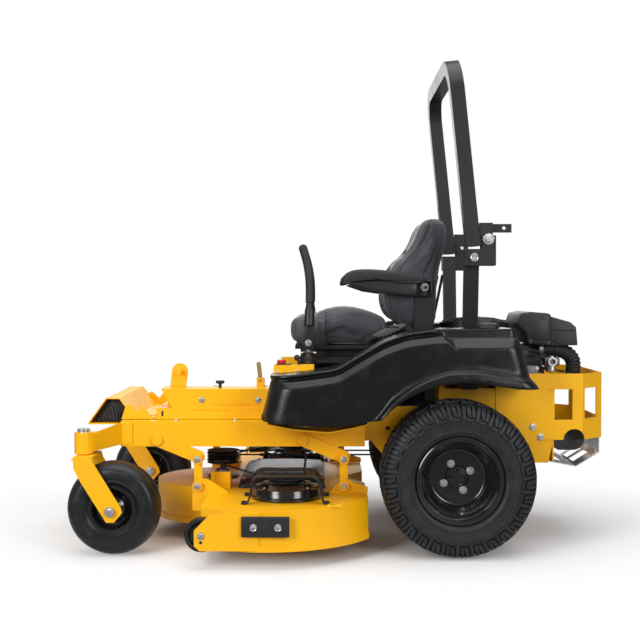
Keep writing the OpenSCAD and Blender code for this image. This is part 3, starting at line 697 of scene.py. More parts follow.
# %% Caster tyres and rims
def caster_wheel(side_name, side):
    centre = at(CASTER.x, side * (CASTER.y - 0.0), CASTER.z)
    r, half = CASTER.z, 0.074
    section = [(0.0785, -0.056), (0.0925, -0.061), (0.0985, -0.0675), (0.104, -0.0700), (0.1065, -0.0735),
               (0.111, -0.0735), (0.1135, -0.0715)]
    for k in range(15):
        a = math.radians(-80 + 160 * k / 14)
        section.append((r - 0.052 + 0.052 * math.cos(a) ** 0.75, half * math.sin(a) / math.sin(math.radians(80))))
    section += [(radius, -y) for radius, y in section[6::-1]]
    section += [(0.0785, 0.036), (0.13, 0.052), (r - 0.016, 0.03), (r - 0.016, -0.03), (0.13, -0.052),
                (0.0785, -0.036)]
    tyre = turned(side_name + "_caster_carcass", centre, section, caster_rubber, 120)
    line = [(r - 0.001, -0.0012), (r + 0.0006, 0.0), (r - 0.001, 0.0012)]
    tyre = join(side_name + "_caster_rubber", [tyre, turned("line", centre, line, caster_rubber, 120)])
    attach(tyre, side_name + "_caster")
    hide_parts(side_name + "_caster_tyre")
    dish = [(0.078, 0.056), (0.085, 0.061), (0.0925, 0.0615), (0.0930, 0.0645), (0.089, 0.0660),
            (0.079, 0.0640), (0.0755, 0.056), (0.0735, 0.040), (0.066, 0.030), (0.050, 0.027),
            (0.044, 0.033), (0.034, 0.035), (0.0275, 0.041), (0.0275, 0.078), (0.0245, 0.0795),
            (0.0098, 0.0795), (0.0098, 0.0)]
    profile = dish + [(radius, -y) for radius, y in dish[-2::-1]]
    rim = turned(side_name + "_caster_dish", centre, profile, gloss_black, 96)
    seal = [(0.0098, 0.0796), (0.0215, 0.0796), (0.0215, 0.0806), (0.0098, 0.0806)]
    parts = [rim]
    for s in (-1, 1):
        parts.append(turned("seal", centre, [(q, s * y) for q, y in seal], soft_rubber, 48))
        for k in range(4):
            a = math.radians(45 + 90 * k)
            spot = centre - AXLE + Vector((0.058 * math.cos(a), s * 0.0285, 0.058 * math.sin(a)))
            parts.append(hex_bolt("stud", spot, (0, s, 0), 0.013, dark_steel, washer=False))
    dish_piece = join(side_name + "_caster_disc", parts)
    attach(dish_piece, side_name + "_caster")
    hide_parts(side_name + "_caster_rim")


caster_wheel("left", 1)
caster_wheel("right", -1)

# %% [markdown]
# Each side pod is a moulded tank. It is drawn as a stack of level rings, each a rounded rectangle seen from
# above whose height follows the long curve of the top or the wheel arch. Forward, a groove and a bright band
# run under the rim; behind the seat the rim steps up to a raised deck with a sloped ledge round it. The
# wheel arch ends in a lip that flares over the tyre.

# %% Side pods
POD_TOP = [(-0.40, 0.884), (-0.20, 0.884), (0.09, 0.882), (0.20, 0.868), (0.29, 0.836), (0.36, 0.796),
           (0.47, 0.730), (0.60, 0.712), (0.70, 0.703), (0.80, 0.698)]
POD_FOOT = [(-0.40, 0.640), (-0.31, 0.652), (-0.22, 0.654), (-0.07, 0.677), (0.0, 0.680), (0.08, 0.667),
            (0.142, 0.647), (0.20, 0.622), (0.265, 0.575), (0.290, 0.545), (0.306, 0.534), (0.4725, 0.507),
            (0.700, 0.517), (0.768, 0.532), (0.80, 0.534)]
POD_LIP = [(-0.40, 0.690), (-0.265, 0.706), (-0.19, 0.717), (-0.07, 0.738), (0.05, 0.735), (0.12, 0.710),
           (0.18, 0.678), (0.256, 0.622), (0.300, 0.560), (0.318, 0.536), (0.4725, 0.505), (0.80, 0.526)]


def along(table, x):
    """A smooth height from a table of places."""
    for (x0, z0), (x1, z1) in zip(table, table[1:]):
        if x <= x1:
            t = min(max((x - x0) / (x1 - x0), 0.0), 1.0)
            return z0 + (z1 - z0) * t
    return table[-1][1]


def soft_along(table, x, width=0.02):
    return sum(along(table, x + width * k / 3) for k in range(-3, 4)) / 7


def pod_ring(rear, front, outer, inner, r_front, r_rear, height):
    """One level: points round a rounded rectangle, each with its own height."""
    points = []

    r_in = min(r_rear, 0.02)
    side = 88
    for k in range(1, side):
        points.append((rear + r_rear + (front - r_front - rear - r_rear) * k / side, outer))
    for k in range(9):
        a = math.radians(90 - 90 * k / 8)
        points.append((front - r_front + r_front * math.cos(a), outer - r_front + r_front * math.sin(a)))
    for k in range(1, 5):
        points.append((front, outer - r_front + (inner + r_in - outer + r_front) * k / 5))
    for k in range(9):
        a = math.radians(-90 * k / 8)
        points.append((front - r_in + r_in * math.cos(a), inner + r_in + r_in * math.sin(a)))
    for k in range(1, side):
        points.append((front - r_in + (rear - front + 2 * r_in) * k / side, inner))
    for k in range(9):
        a = math.radians(-90 - 90 * k / 8)
        points.append((rear + r_in + r_in * math.cos(a), inner + r_in + r_in * math.sin(a)))
    for k in range(1, 5):
        points.append((rear, inner + r_in + (outer - r_rear - inner - r_in) * k / 5))
    for k in range(9):
        a = math.radians(180 - 90 * k / 8)
        points.append((rear + r_rear + r_rear * math.cos(a), outer - r_rear + r_rear * math.sin(a)))
    return [at(x, y, height(x)) for x, y in points]


# each level: insets forward and behind, drops below the top forward and behind, rear end, where the change is
RIM = [(0.1139, 0.1139, -0.003, -0.003, -0.165, 0.085), (0.090, 0.090, -0.003, -0.003, -0.178, 0.085),
       (0.045, 0.062, -0.001, -0.001, -0.197, 0.085), (0.032, 0.052, 0.000, 0.000, -0.205, 0.085),
       (0.025, 0.047, 0.0015, 0.0015, -0.2105, 0.085), (0.0215, 0.0445, 0.005, 0.006, -0.2155, 0.085),
       (0.021, 0.041, 0.0115, 0.030, -0.2190, 0.072), (0.0225, 0.040, 0.0125, 0.034, -0.2200, 0.066),
       (0.034, 0.038, 0.014, 0.036, -0.2220, 0.062), (0.034, 0.036, 0.0245, 0.0375, -0.2255, 0.056),
       (0.0255, 0.034, 0.0262, 0.0392, -0.2295, 0.052), (0.0225, 0.031, 0.0275, 0.041, -0.2330, 0.048),
       (0.006, 0.008, 0.049, 0.066, -0.2425, 0.030), (0.002, 0.0025, 0.053, 0.0715, -0.2460, 0.026),
       (0.000, 0.000, 0.058, 0.077, -0.2485, 0.022)]


def pod(name, side):
    rings = []
    for ahead, behind, drop_a, drop_b, rear, switch in RIM:
        def blend_at(x):
            t = min(max((x - switch + 0.010) / 0.020, 0.0), 1.0)
            return t * t * (3 - 2 * t)

        def height(x):
            t = blend_at(x)
            return soft_along(POD_TOP, x) - (drop_a * t + drop_b * (1 - t))

        front = 0.737 - 0.3 * ahead if ahead < 0.06 else 0.737 - 0.4 * ahead
        inner = 0.379 + (0.25 * ahead if ahead < 0.04 else ahead)
        ring = pod_ring(rear, front, 0.607, inner, max(0.1 - ahead, 0.004), max(0.06 - behind, 0.004), height)
        # the outer side moves in by its own amount, which changes from the front part to the rear one
        shaped = []
        for v in ring:
            x, y = v.x - AXLE.x, v.y - AXLE.y
            t = blend_at(x)
            inset = ahead * t + behind * (1 - t)
            share = min(max((y - inner) / (0.607 - inner), 0.0), 1.0)
            shaped.append(at(x, y - inset * share, v.z))
        rings.append(shaped)
    for share, rear in ((0.3, -0.2560), (0.65, -0.2645), (0.93, -0.2710), (0.985, -0.2725)):
        def height(x):
            top = soft_along(POD_TOP, x) - (0.058 if x > 0.022 else 0.077)
            return top + (soft_along(POD_LIP, x, 0.012) + 0.006 - top) * share

        rings.append(pod_ring(rear, 0.7375 + 0.029 * share, 0.6075, 0.379, 0.1, 0.06, height))
    for flare, top, foot, rear in ((0.006, 0.75, 0.25, -0.2755), (0.022, 0.66, 0.34, -0.2830),
                                   (0.029, 0.48, 0.52, -0.2930), (0.031, 0.10, 0.90, -0.3080),
                                   (0.029, 0.0, 1.0, -0.3110), (0.022, -0.03, 1.03, -0.3090),
                                   (0.004, -0.03, 1.03, -0.300), (-0.004, -0.25, 1.25, -0.292)):
        def height(x):
            high, low = soft_along(POD_LIP, x, 0.012), soft_along(POD_FOOT, x, 0.008)
            return high * top + low * foot if top >= 0 else low - (0.03 + top) * 0.1

        ring = pod_ring(rear, 0.7665, 0.607, 0.380, 0.1, 0.06, height)
        shaped = []
        for v in ring:
            x, y = v.x - AXLE.x, v.y - AXLE.y
            reach = min(max((0.335 - x) / 0.03, 0.0), 1.0)
            share = min(max((y - 0.50) / 0.09, 0.0), 1.0)
            inset = 0.0 if flare >= 0 else 0.012
            shaped.append(at(x, y + max(flare, 0) * reach * share - inset * share, v.z))
        rings.append(shaped)
    for inset, lift in ((0.02, 0.012), (0.06, 0.02), (0.1135, 0.02)):
        rings.append(pod_ring(-0.288 + inset * 0.5, 0.760 - inset * 0.5, 0.607 - inset, 0.380 + inset,
                              max(0.1 - inset, 0.004), max(0.06 - inset, 0.004),
                              lambda x: soft_along(POD_FOOT, x, 0.008) + lift))
    shell = skin(name + "_shell", rings, tank_plastic, caps=False)
    if side < 0:
        twin = mirrored_copy(shell, name + "_moulding")
        bpy.data.objects.remove(shell)
        shell = twin
    soften = shell.modifiers.new("soften", "SUBSURF")
    soften.levels = soften.render_levels = 1
    bake_modifiers(shell)
    shell.data.polygons.foreach_set("use_smooth", [True] * len(shell.data.polygons))
    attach(shell, "chassis")
    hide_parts(name)
    return len(shell.data.polygons)


print("faces on each pod:", pod("left_pod", 1), pod("right_pod", -1))

# %% [markdown]
# A fuel cap sits in a raised collar on each pod. Its skirt is ribbed for grip and a vent nub stands on top.

# %% Fuel caps
def fuel_cap(name):
    low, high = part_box(name)
    centre = (low + high) / 2
    r = (high.x - low.x) / 2
    h = high.z - low.z
    rings = []
    levels = [(0.001, 1.0), (0.34, 1.0), (0.36, 0.99), (0.38, 0.93), (0.70, 0.90), (0.86, 0.86), (0.93, 0.76),
              (0.96, 0.62), (0.96, 0.12), (0.94, 0.02), (0.001, 0.0)]
    count = 144
    for share, z in levels:
        ring = []
        for k in range(count):
            a = 2 * math.pi * k / count
            rib = 0.028 * (0.5 + 0.5 * math.cos(a * 24)) if 0.1 < z < 0.8 and share > 0.9 else 0.0
            ring.append(Vector((centre.x + r * (share + rib) * math.cos(a),
                                centre.y + r * (share + rib) * math.sin(a), low.z + h * z)))
        rings.append(ring)
    cap = skin(name + "_moulded", rings, cover_plastic)
    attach(cap, name)
    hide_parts(name)
    foot = Vector((centre.x, centre.y, 0))
    collar = upright(name + "_collar", foot, [(r * 1.28, low.z - 0.012), (r * 1.24, low.z - 0.001),
                     (r * 1.16, low.z + 0.004), (r * 1.06, low.z + 0.004), (r * 1.02, low.z - 0.001),
                     (r * 1.02, low.z - 0.012)], tank_plastic)
    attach(collar, "chassis")


fuel_cap("left_fuel_cap")
fuel_cap("right_fuel_cap")

# %% [markdown]
# The seat is vinyl stretched over foam, so its parts are blown up rather than drawn: a slightly small form is
# remeshed, swollen by cloth pressure with its travel capped, and only then do the seams get pressed in.

# %% Padded forms
def closed_curve(points, steps=6):
    count = len(points)
    curve = []
    for i in range(count):
        p0, p1, p2, p3 = (Vector(points[(i + k) % count]) for k in (-1, 0, 1, 2))
        for k in range(steps):
            t = k / steps
            curve.append(0.5 * ((2 * p1) + (p2 - p0) * t + (2 * p0 - 5 * p1 + 4 * p2 - p3) * t * t
                                + (3 * p1 - p0 - 3 * p2 + p3) * t ** 3))
    return curve


def pillow(name, outline, half, edge, shape, material, offset=0.0):
    """A form whose (x, z) outline rolls in over `edge` at both sides. shape moves each point."""
    curve = closed_curve(outline)
    heart = sum(curve, Vector((0, 0))) / len(curve)
    rings = []
    stations = [-1.0, -0.985, -0.94, -0.87, -0.78, -0.65, -0.5, -0.33, -0.16]
    stations += [0.0] + [-s for s in stations[::-1]]
    for s in stations:
        past = max(abs(s) * half - (half - edge), 0.0) / edge
        shrink = edge * (1 - math.sqrt(max(1 - past ** 2, 0.0)))
        ring = []
        for p in curve:
            away = p - heart
            q = heart + away * max(1 - shrink / max(away.length, 0.02), 0.15)
            x, y, z = shape(q.x, s * half, q.y)
            ring.append(at(x, y + offset, z))
        rings.append(ring)
    return skin(name, rings, material)


def inflate(made, voxel=0.006, pressure=4.0, cap=0.010, keep_flat=None):
    """The cloth step: remesh, swell from rest with gravity off, cap the travel, and apply."""
    remesh = made.modifiers.new("remesh", "REMESH")
    remesh.mode = "VOXEL"
    remesh.voxel_size = voxel
    bake_modifiers(made)
    before = [v.co.copy() for v in made.data.vertices]
    cloth = made.modifiers.new("cloth", "CLOTH")
    cloth.settings.use_pressure = True
    cloth.settings.uniform_pressure_force = pressure
    cloth.settings.effector_weights.gravity = 0.0
    cloth.settings.quality = 4
    cloth.settings.tension_stiffness = 30
    cloth.settings.compression_stiffness = 30
    cloth.settings.bending_stiffness = 8
    cloth.collision_settings.use_collision = False
    cloth.collision_settings.use_self_collision = False
    scene = bpy.context.scene
    for number in range(1, 21):
        scene.frame_set(number)
    shaped = made.evaluated_get(bpy.context.evaluated_depsgraph_get())
    after = [v.co.copy() for v in shaped.data.vertices]
    made.modifiers.clear()
    scene.frame_set(1)
    for vertex, start, end in zip(made.data.vertices, before, after):
        move = end - start
        if move.length > cap:
            move = move.normalized() * cap
        if keep_flat is not None and start.z < keep_flat + 0.004:
            move *= 0.0
        vertex.co = start + move
    return made


def finer(made, levels=1):
    soften = made.modifiers.new("soften", "SUBSURF")
    soften.levels = soften.render_levels = levels
    bake_modifiers(made)
    made.data.polygons.foreach_set("use_smooth", [True] * len(made.data.polygons))
    return made


def press_seams(made, seams):
    """Each seam is (distance, depth, width): the skin is pulled in where the distance is small."""
    normals = [v.normal.copy() for v in made.data.vertices]
    for vertex, normal in zip(made.data.vertices, normals):
        x, y, z = vertex.co - AXLE
        pull = 0.0
        for distance, depth, width in seams:
            d = distance(x, y, z, normal)
            pull += depth * math.exp(-(d / width) ** 2)
        vertex.co -= normal * pull
    return made


def near_line(line, x, z):
    """Distance in the side view from (x, z) to a broken line."""
    best = 9.0
    for (x0, z0), (x1, z1) in zip(line, line[1:]):
        dx, dz = x1 - x0, z1 - z0
        t = min(max(((x - x0) * dx + (z - z0) * dz) / (dx * dx + dz * dz), 0.0), 1.0)
        best = min(best, math.hypot(x - x0 - t * dx, z - z0 - t * dz))
    return best


def paint_side_shade(made, material, where):
    """Gives the faces of the side panels a darker copy of the seat vinyl, as painted shade on the pad's sides."""
    made.data.materials.append(material)
    for face in made.data.polygons:
        x, y, z = face.center - AXLE
        if where(x, y, z, face.normal):
            face.material_index = 1


def welt(name, points, side, made, radius=0.0032):
    """Piping sewn along a line on the side of a pad: it is laid on the pad's own surface."""
    path = []
    for x, z, _ in smooth_path([(x, z, 0) for x, z in points], 10):
        hit, place, _, _ = made.ray_cast(at(x, side * 0.5, z), Vector((0, -side, 0)))
        if hit:
            path.append(place)
    path = [sum(path[max(i - 2, 0) : i + 3], Vector()) / len(path[max(i - 2, 0) : i + 3]) for i in range(len(path))]
    # the piping takes the darker side vinyl, which is painted shade
    return bar(name, path, radius, shaded_side_vinyl, 10)


# %% [markdown]
# The cushion has a high rounded front roll and long side bolsters with a hollow between them. Three channels
# cross the top, a pair of seams marks off the front roll, and one runs round each side.

# %% Seat cushion
def cushion_shape(x, y, z):
    hollow = max(1 - (abs(y) / 0.19) ** 2.5, 0.0)
    top = min(max((z - 0.86) / 0.06, 0.0), 1.0)
    return x, y, z - 0.020 * hollow * top


CUSHION = [(0.262, 0.822), (0.330, 0.810), (0.450, 0.809), (0.560, 0.812), (0.638, 0.823), (0.660, 0.842),
           (0.664, 0.872), (0.661, 0.902), (0.645, 0.918), (0.606, 0.925), (0.556, 0.934), (0.500, 0.950),
           (0.424, 0.958), (0.350, 0.949), (0.300, 0.933), (0.264, 0.912), (0.255, 0.870)]
cushion = pillow("seat_cushion_pad", CUSHION, 0.245, 0.040, cushion_shape, seat_vinyl)
finer(inflate(cushion, 0.006, 4.0, 0.008, keep_flat=0.806))
press_seams(cushion, [
    (lambda x, y, z, n: abs(x - 0.548) + 9.0 * (z < 0.83), 0.0055, 0.004),
    (lambda x, y, z, n: abs(x - 0.518) + 9.0 * (z < 0.83 or abs(y) < 0.2), 0.0035, 0.0035),
    (lambda x, y, z, n: abs(x - 0.455) + 9.0 * (z < 0.88 or abs(y) > 0.185), 0.006, 0.006),
    (lambda x, y, z, n: abs(x - 0.380) + 9.0 * (z < 0.88 or abs(y) > 0.185), 0.006, 0.006),
    (lambda x, y, z, n: abs(x - 0.310) + 9.0 * (z < 0.88 or abs(y) > 0.185), 0.006, 0.006),
    (lambda x, y, z, n: abs(abs(y) - 0.188) + 9.0 * (z < 0.87 or x > 0.55), 0.0055, 0.0045),
    (lambda x, y, z, n: abs(abs(y) - 0.234) + 9.0 * (z < 0.85), 0.0020, 0.003)])
# the cushion's sides take the darker vinyl: painted shade
paint_side_shade(cushion, shaded_side_vinyl, lambda x, y, z, n: abs(y) > 0.233 and x < 0.516)
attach(cushion, "seat")
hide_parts("seat_cushion")
print("cushion vertices:", len(cushion.data.vertices))

# %% [markdown]
# The backrest leans on a stiff shell. Its front is a thick pad that swells at the lumbar, pinches above the
# armrests and runs up to a narrow headrest, with piping where the front pad meets the side panel.

# %% Backrest
BACK = [(0.068, 0.884), (0.150, 0.880), (0.214, 0.902), (0.248, 0.928), (0.264, 0.965), (0.268, 1.010),
        (0.258, 1.062), (0.238, 1.112), (0.212, 1.152), (0.168, 1.192), (0.136, 1.240), (0.114, 1.294),
        (0.094, 1.329), (0.064, 1.339), (0.030, 1.335), (0.013, 1.316), (0.014, 1.262), (0.024, 1.200),
        (0.040, 1.130), (0.052, 1.050), (0.058, 0.960)]
BACK_SEAM = [(0.212, 0.905), (0.236, 0.940), (0.246, 1.010), (0.232, 1.070), (0.196, 1.130), (0.146, 1.190),
             (0.104, 1.240), (0.078, 1.290), (0.073, 1.331)]


def back_shape(x, y, z):
    rise = min(max((z - 1.05) / 0.28, 0.0), 1.0)
    hollow = max(1 - (abs(y) / 0.17) ** 2.2, 0.0)
    front = min(max((x - (0.068 - 0.16 * (z - 0.88))) / 0.10, 0.0), 1.0)
    return x - 0.022 * hollow * front, y * (1 - 0.16 * rise ** 1.6), z + 0.006 * hollow * rise


back = pillow("seat_back_pad", BACK, 0.230, 0.034, back_shape, seat_vinyl)
finer(inflate(back, 0.006, 4.0, 0.007))
press_seams(back, [
    (lambda x, y, z, n: near_line(BACK_SEAM, x, z) + 9.0 * (abs(y) < 0.14 or abs(n.y) < 0.4), 0.0050, 0.0035),
    (lambda x, y, z, n: abs(z - 0.965) + 9.0 * (n.x < 0.3 or abs(y) > 0.155), 0.0065, 0.006),
    (lambda x, y, z, n: abs(z - 1.045) + 9.0 * (n.x < 0.3 or abs(y) > 0.155), 0.0065, 0.006),
    (lambda x, y, z, n: abs(z - 1.125) + 9.0 * (n.x < 0.2 or abs(y) > 0.150), 0.0065, 0.006),
    (lambda x, y, z, n: abs(z - 1.205) + 9.0 * (n.x < 0.2 or abs(y) > 0.145), 0.0065, 0.006),
    (lambda x, y, z, n: abs(abs(y) - 0.158 + 0.025 * max(z - 1.1, 0)) + 9.0 * (n.x < 0.2), 0.0055, 0.0045)])
# faces turned sideways take the darker vinyl: painted shade on the backrest's sides
paint_side_shade(back, shaded_side_vinyl, lambda x, y, z, n: abs(n.y) > 0.75)
piping = [welt(f"back_welt_{s}", BACK_SEAM, s, back) for s in (-1, 1)]
piping += [welt(f"back_welt_inner_{s}", [(x - 0.014, z) for x, z in BACK_SEAM[:4]], s, back, 0.0024) for s in (-1, 1)]
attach(back, "seat")
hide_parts("seat_back")
piping = join("seat_back_piping", piping)
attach(piping, "seat")

# %% [markdown]
# An armrest is a soft pad on a curved black plate. The plate folds up on a bolt through a small boxed
# bracket, and the pad droops over the plate's nose.

# %% Armrests
def armrest(name, side):
    top = [(0.104, 1.068), (0.112, 1.086), (0.150, 1.094), (0.210, 1.104), (0.274, 1.112), (0.343, 1.116),
           (0.398, 1.112), (0.430, 1.098), (0.444, 1.078), (0.447, 1.062), (0.438, 1.056), (0.420, 1.061),
           (0.395, 1.067), (0.324, 1.073), (0.260, 1.070), (0.190, 1.060), (0.130, 1.058)]

    def rounding(x, y, z):
        lift = 0.004 * (1 - (y / 0.030) ** 2)
        return x, y, z + (lift if z > 1.08 else 0.0)

    pad = pillow(name + "_pad", top, 0.027, 0.017, rounding, soft_rubber, side * 0.277)
    finer(inflate(pad, 0.004, 3.0, 0.0025))
    press_seams(pad, [(lambda x, y, z, n: abs(z - (1.070 + 0.02 * (0.3 - x) * (x > 0.3))) + 9.0 * (abs(n.z) > 0.8),
                       0.0012, 0.0025)])
    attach(pad, name)
    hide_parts(name)
    under = [(0.140, 1.070), (0.200, 1.066), (0.300, 1.074), (0.395, 1.068), (0.418, 1.058), (0.404, 1.051),
             (0.343, 1.030), (0.274, 1.020), (0.195, 1.012), (0.140, 1.009)]
    y0, y1 = side * 0.257, side * 0.297
    tray = plate(name + "_tray", under, min(y0, y1), max(y0, y1), black_coat, 0.005)
    bracket = slab(name + "_bracket", (0.076, min(side * 0.250, side * 0.262), 1.008),
                   (0.146, max(side * 0.250, side * 0.262), 1.077), black_coat, 0.002)
    ribs = [slab("rib", (x, min(side * 0.262, side * 0.284), 1.012),
                 (x + 0.005, max(side * 0.262, side * 0.284), 1.074),
                 black_coat, 0.001) for x in (0.138, 0.077)]
    top_rib = slab("rib", (0.077, min(side * 0.262, side * 0.284), 1.069),
                   (0.143, max(side * 0.262, side * 0.284), 1.075), black_coat, 0.001)
    bolt = hex_bolt("bolt", (0.104, side * 0.262, 1.046), (0, side, 0), 0.022, zinc)
    stop = hex_bolt("stop", (0.104, side * 0.262, 1.020), (0, side, 0), 0.011, dark_steel)
    frame_piece = join(name + "_frame", [tray, bracket, *ribs, top_rib, bolt, stop])
    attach(frame_piece, name)


armrest("left_armrest", 1)
armrest("right_armrest", -1)

# %% [markdown]
# Beside the cushion lies the seat belt: a ribbed grey housing with the latch on one side, the tongue on the
# other, and a short run of flat webbing from each down to the seat frame.

# %% Seat belt
def ribbed_housing(name, path, width, material):
    """A housing whose section swells and pinches along the path, so it reads as ribs."""
    rings = []
    points = smooth_path(path, 10)
    for i, p in enumerate(points):
        t = i / (len(points) - 1)
        ahead = points[min(i + 1, len(points) - 1)] - points[max(i - 1, 0)]
        up = Vector((-ahead.z, 0, ahead.x)).normalized()
        body = math.sin(math.pi * min(max(t * 1.06 - 0.03, 0.02), 0.98)) ** 0.35
        rib = 1.0 + 0.10 * math.sin(t * math.pi * 16)
        ring = []
        for k in range(20):
            a = 2 * math.pi * k / 20
            c, s = math.cos(a), math.sin(a)
            c, s = abs(c) ** 0.6 * math.copysign(1, c), abs(s) ** 0.6 * math.copysign(1, s)
            ring.append(p + up * (0.017 * body * rib * c) + Vector((0, width * body * rib * s, 0)))
        rings.append(ring)
    return skin(name, rings, material)


belt_grey = moulded("belt_housing_grey", (0.075, 0.073, 0.070), 0.44, 800.0, 0.0001)
webbing = vinyl("belt_webbing", (0.016, 0.016, 0.018), 0.7)
for side, label in ((1, "left"), (-1, "right")):
    route = [at(0.316, side * 0.284, 0.846), at(0.275, side * 0.286, 0.858), at(0.235, side * 0.287, 0.874),
             at(0.186, side * 0.285, 0.892)]
    housing = ribbed_housing("buckle_body", route, 0.013, belt_grey)
    slot_face = slab("buckle_slot", (0.214, side * 0.290 - 0.012, 0.880), (0.262, side * 0.290 + 0.012, 0.886),
                     cover_plastic, 0.001)
    strap = [[p + Vector((0, side * w, 0)) + n for w, n in ((-0.003, Vector((0.0, 0, 0.011))),
              (0.0, Vector((0.0, 0, 0.012))), (0.0, Vector((0.0, 0, -0.012))), (-0.003, Vector((0.0, 0, -0.011))))]
             for p in smooth_path([at(0.190, side * 0.284, 0.888), at(0.160, side * 0.268, 0.868),
                                   at(0.135, side * 0.262, 0.842), at(0.120, side * 0.259, 0.818)], 8)]
    tail = [[p + Vector((0, side * w, 0)) + n for w, n in ((-0.003, Vector((0.0, 0, 0.010))),
             (0.0, Vector((0.0, 0, 0.011))), (0.0, Vector((0.0, 0, -0.011))), (-0.003, Vector((0.0, 0, -0.010))))]
            for p in smooth_path([at(0.318, side * 0.284, 0.846), at(0.336, side * 0.276, 0.836),
                                  at(0.350, side * 0.266, 0.824), at(0.352, side * 0.258, 0.812)], 8)]
    belt = join(f"{label}_seat_belt", [housing, slot_face, skin("strap", strap, webbing),
                                       skin("tail", tail, webbing)])
    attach(belt, "seat")

# %% [markdown]
# A steering lever is a bent tube in a foam grip. The tube tapers out of a folded bracket plate, the plate is
# bolted to a swinging strap with a row of holes, and the grip's end is domed.

# %% Steering levers
def lever(name, side):
    grip_path = smooth_path([at(0.5775, side * 0.316, 0.984), at(0.577, side * 0.306, 1.030),
                             at(0.580, side * 0.293, 1.090), at(0.590, side * 0.270, 1.150),
                             at(0.606, side * 0.248, 1.206)], 10)
    end = grip_path[-1]
    forward = (grip_path[-1] - grip_path[-2]).normalized()
    radii = [0.0178] * len(grip_path)
    radii[0] = 0.0182
    for step, radius in ((0.005, 0.0172), (0.010, 0.0150), (0.0135, 0.0115), (0.0155, 0.0060), (0.016, 0.0010)):
        grip_path.append(end + forward * step)
        radii.append(radius)
    radii = [0.0135, 0.0172] + radii
    grip_path = [grip_path[0] - Vector((0, 0, 0.004)), grip_path[0] - Vector((0, 0, 0.001))] + grip_path
    grip = bar("grip", grip_path, radii, soft_rubber, 28)
    neck = bar("neck", [at(0.580, side * 0.326, 0.890), at(0.5795, side * 0.324, 0.905),
                        at(0.5785, side * 0.320, 0.950), at(0.5780, side * 0.317, 0.966),
                        at(0.5778, side * 0.3165, 0.990)],
               [0.0215, 0.0210, 0.0200, 0.0165, 0.0135], black_coat, 28)
    outline = [(0.552, 0.772), (0.614, 0.772), (0.616, 0.800), (0.610, 0.835), (0.602, 0.870), (0.602, 0.912),
               (0.594, 0.920), (0.566, 0.920), (0.558, 0.912), (0.556, 0.870)]
    low, high = sorted((side * 0.318, side * 0.325))
    face = plate("plate", outline, low, high, black_coat, 0.002)
    parts = [grip, neck, face]
    for x in (0.553, 0.609):
        a, b = sorted((side * 0.312, side * 0.325))
        parts.append(plate("cheek", [(x, 0.776), (x + 0.006, 0.776), (x + 0.002, 0.870), (x - 0.001, 0.870)]
                           if x > 0.58 else [(x, 0.776), (x + 0.006, 0.776), (x + 0.009, 0.870), (x + 0.006, 0.870)],
                           a, b, black_coat, 0.001))
    for z in (0.819, 0.777):
        parts.append(hex_bolt("bolt", (0.584, side * 0.325, z), (0, side, 0), 0.019, zinc))
    pin = bar("pin", [at(0.552, side * 0.326, 0.778), at(0.616, side * 0.326, 0.778)], 0.005, zinc, 20)
    parts.append(pin)
    made = join(name + "_assembly", parts)
    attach(made, name)
    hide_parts(name)


lever("left_lever", 1)
lever("right_lever", -1)

# %% [markdown]
# Both straps under the levers are amber zinc plates carrying a ladder of three dark steel adjusting eyelets.

# %% Lever straps
def strap(name, side):
    low, high = sorted((side * 0.3225, side * 0.3285))
    body = plate("strap", [(0.573, 0.692), (0.595, 0.692), (0.596, 0.764), (0.593, 0.771), (0.575, 0.771),
                           (0.572, 0.764)], low, high, amber_zinc, 0.001)
    parts = [body]
    face = side * 0.3286
    for z in (0.716, 0.734, 0.752):
        ring = [(0.0015, 0.0), (0.0062, 0.0), (0.0068, 0.0009), (0.0062, 0.0014), (0.0040, 0.0006), (0.0015, 0.0006)]
        parts.append(turned("eye", at(0.584, face, z), [(r, side * y) for r, y in ring], dark_steel, 24))
    made = join(name + "_strap", parts)
    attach(made, name)


strap("left_lever_base", 1)
strap("right_lever_base", -1)

# %% [markdown]
# The right-hand console is a small folded yellow shelf with the throttle, a red blade switch pull, and
# their black knobs. Each knob is turned with a waist so the hand can find it.

# %% Console knobs
BUTTON = [(0.55, 0.0), (0.6, 0.06), (0.62, 0.34), (0.86, 0.58), (0.99, 0.76), (0.97, 0.90), (0.80, 0.985), (0.5, 1.0)]
TEE = [(0.36, 0.0), (0.36, 0.70), (0.48, 0.75), (0.95, 0.79), (1.0, 0.84), (0.98, 0.95), (0.90, 1.0)]


def knob(name, material, shape):
    low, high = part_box(name)
    centre = (low + high) / 2
    r = (high.x - low.x) / 2
    h = high.z - low.z
    profile = [(0.001, 0.0), *((r * across, h * up) for across, up in shape), (0.001, h)]
    made = upright(name + "_turned", Vector((centre.x, centre.y, low.z)), profile, material, 72)
    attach(made, name)
    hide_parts(name)


blade_red = moulded("blade_switch_red", (0.42, 0.015, 0.012), 0.35, 900.0, 0.0001)
knob("clutch_switch", blade_red, BUTTON)
knob("height_knob", cover_plastic, TEE)


def console_trim():
    parts = [slab("switch_plate", (0.650, 0.392, 0.7365), (0.712, 0.440, 0.7395), cover_plastic, 0.001)]
    for x, z in ((0.705, 0.716), (0.625, 0.722)):
        parts.append(hex_bolt("bolt", (x, 0.446, z - 0.012), (0, 1, 0), 0.011, zinc))
    made = join("console_trim", parts)
    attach(made, "chassis")


console_trim()

# %% [markdown]
# Over each outer spindle sits a glossy pressed dome, held under a pair of bent straps. The straps are flat
# bar, so each is swept as a thin rectangle along its bends.

# %% Deck domes and straps
def flat_bar(name, path, y, width, thick, material):
    """A flat strap bent along a side-view path."""
    points = smooth_path([at(x, y, z) for x, z in path], 5)
    rings = []
    for i, p in enumerate(points):
        ahead = points[min(i + 1, len(points) - 1)] - points[max(i - 1, 0)]
        up = Vector((-ahead.z, 0, ahead.x)).normalized() * thick / 2
        side = Vector((0, width / 2, 0))
        rings.append([p + up + side, p + up - side, p - up - side, p - up + side])
    made = skin(name, rings, material)
    return rounded(made, thick * 0.25, 2, 60)


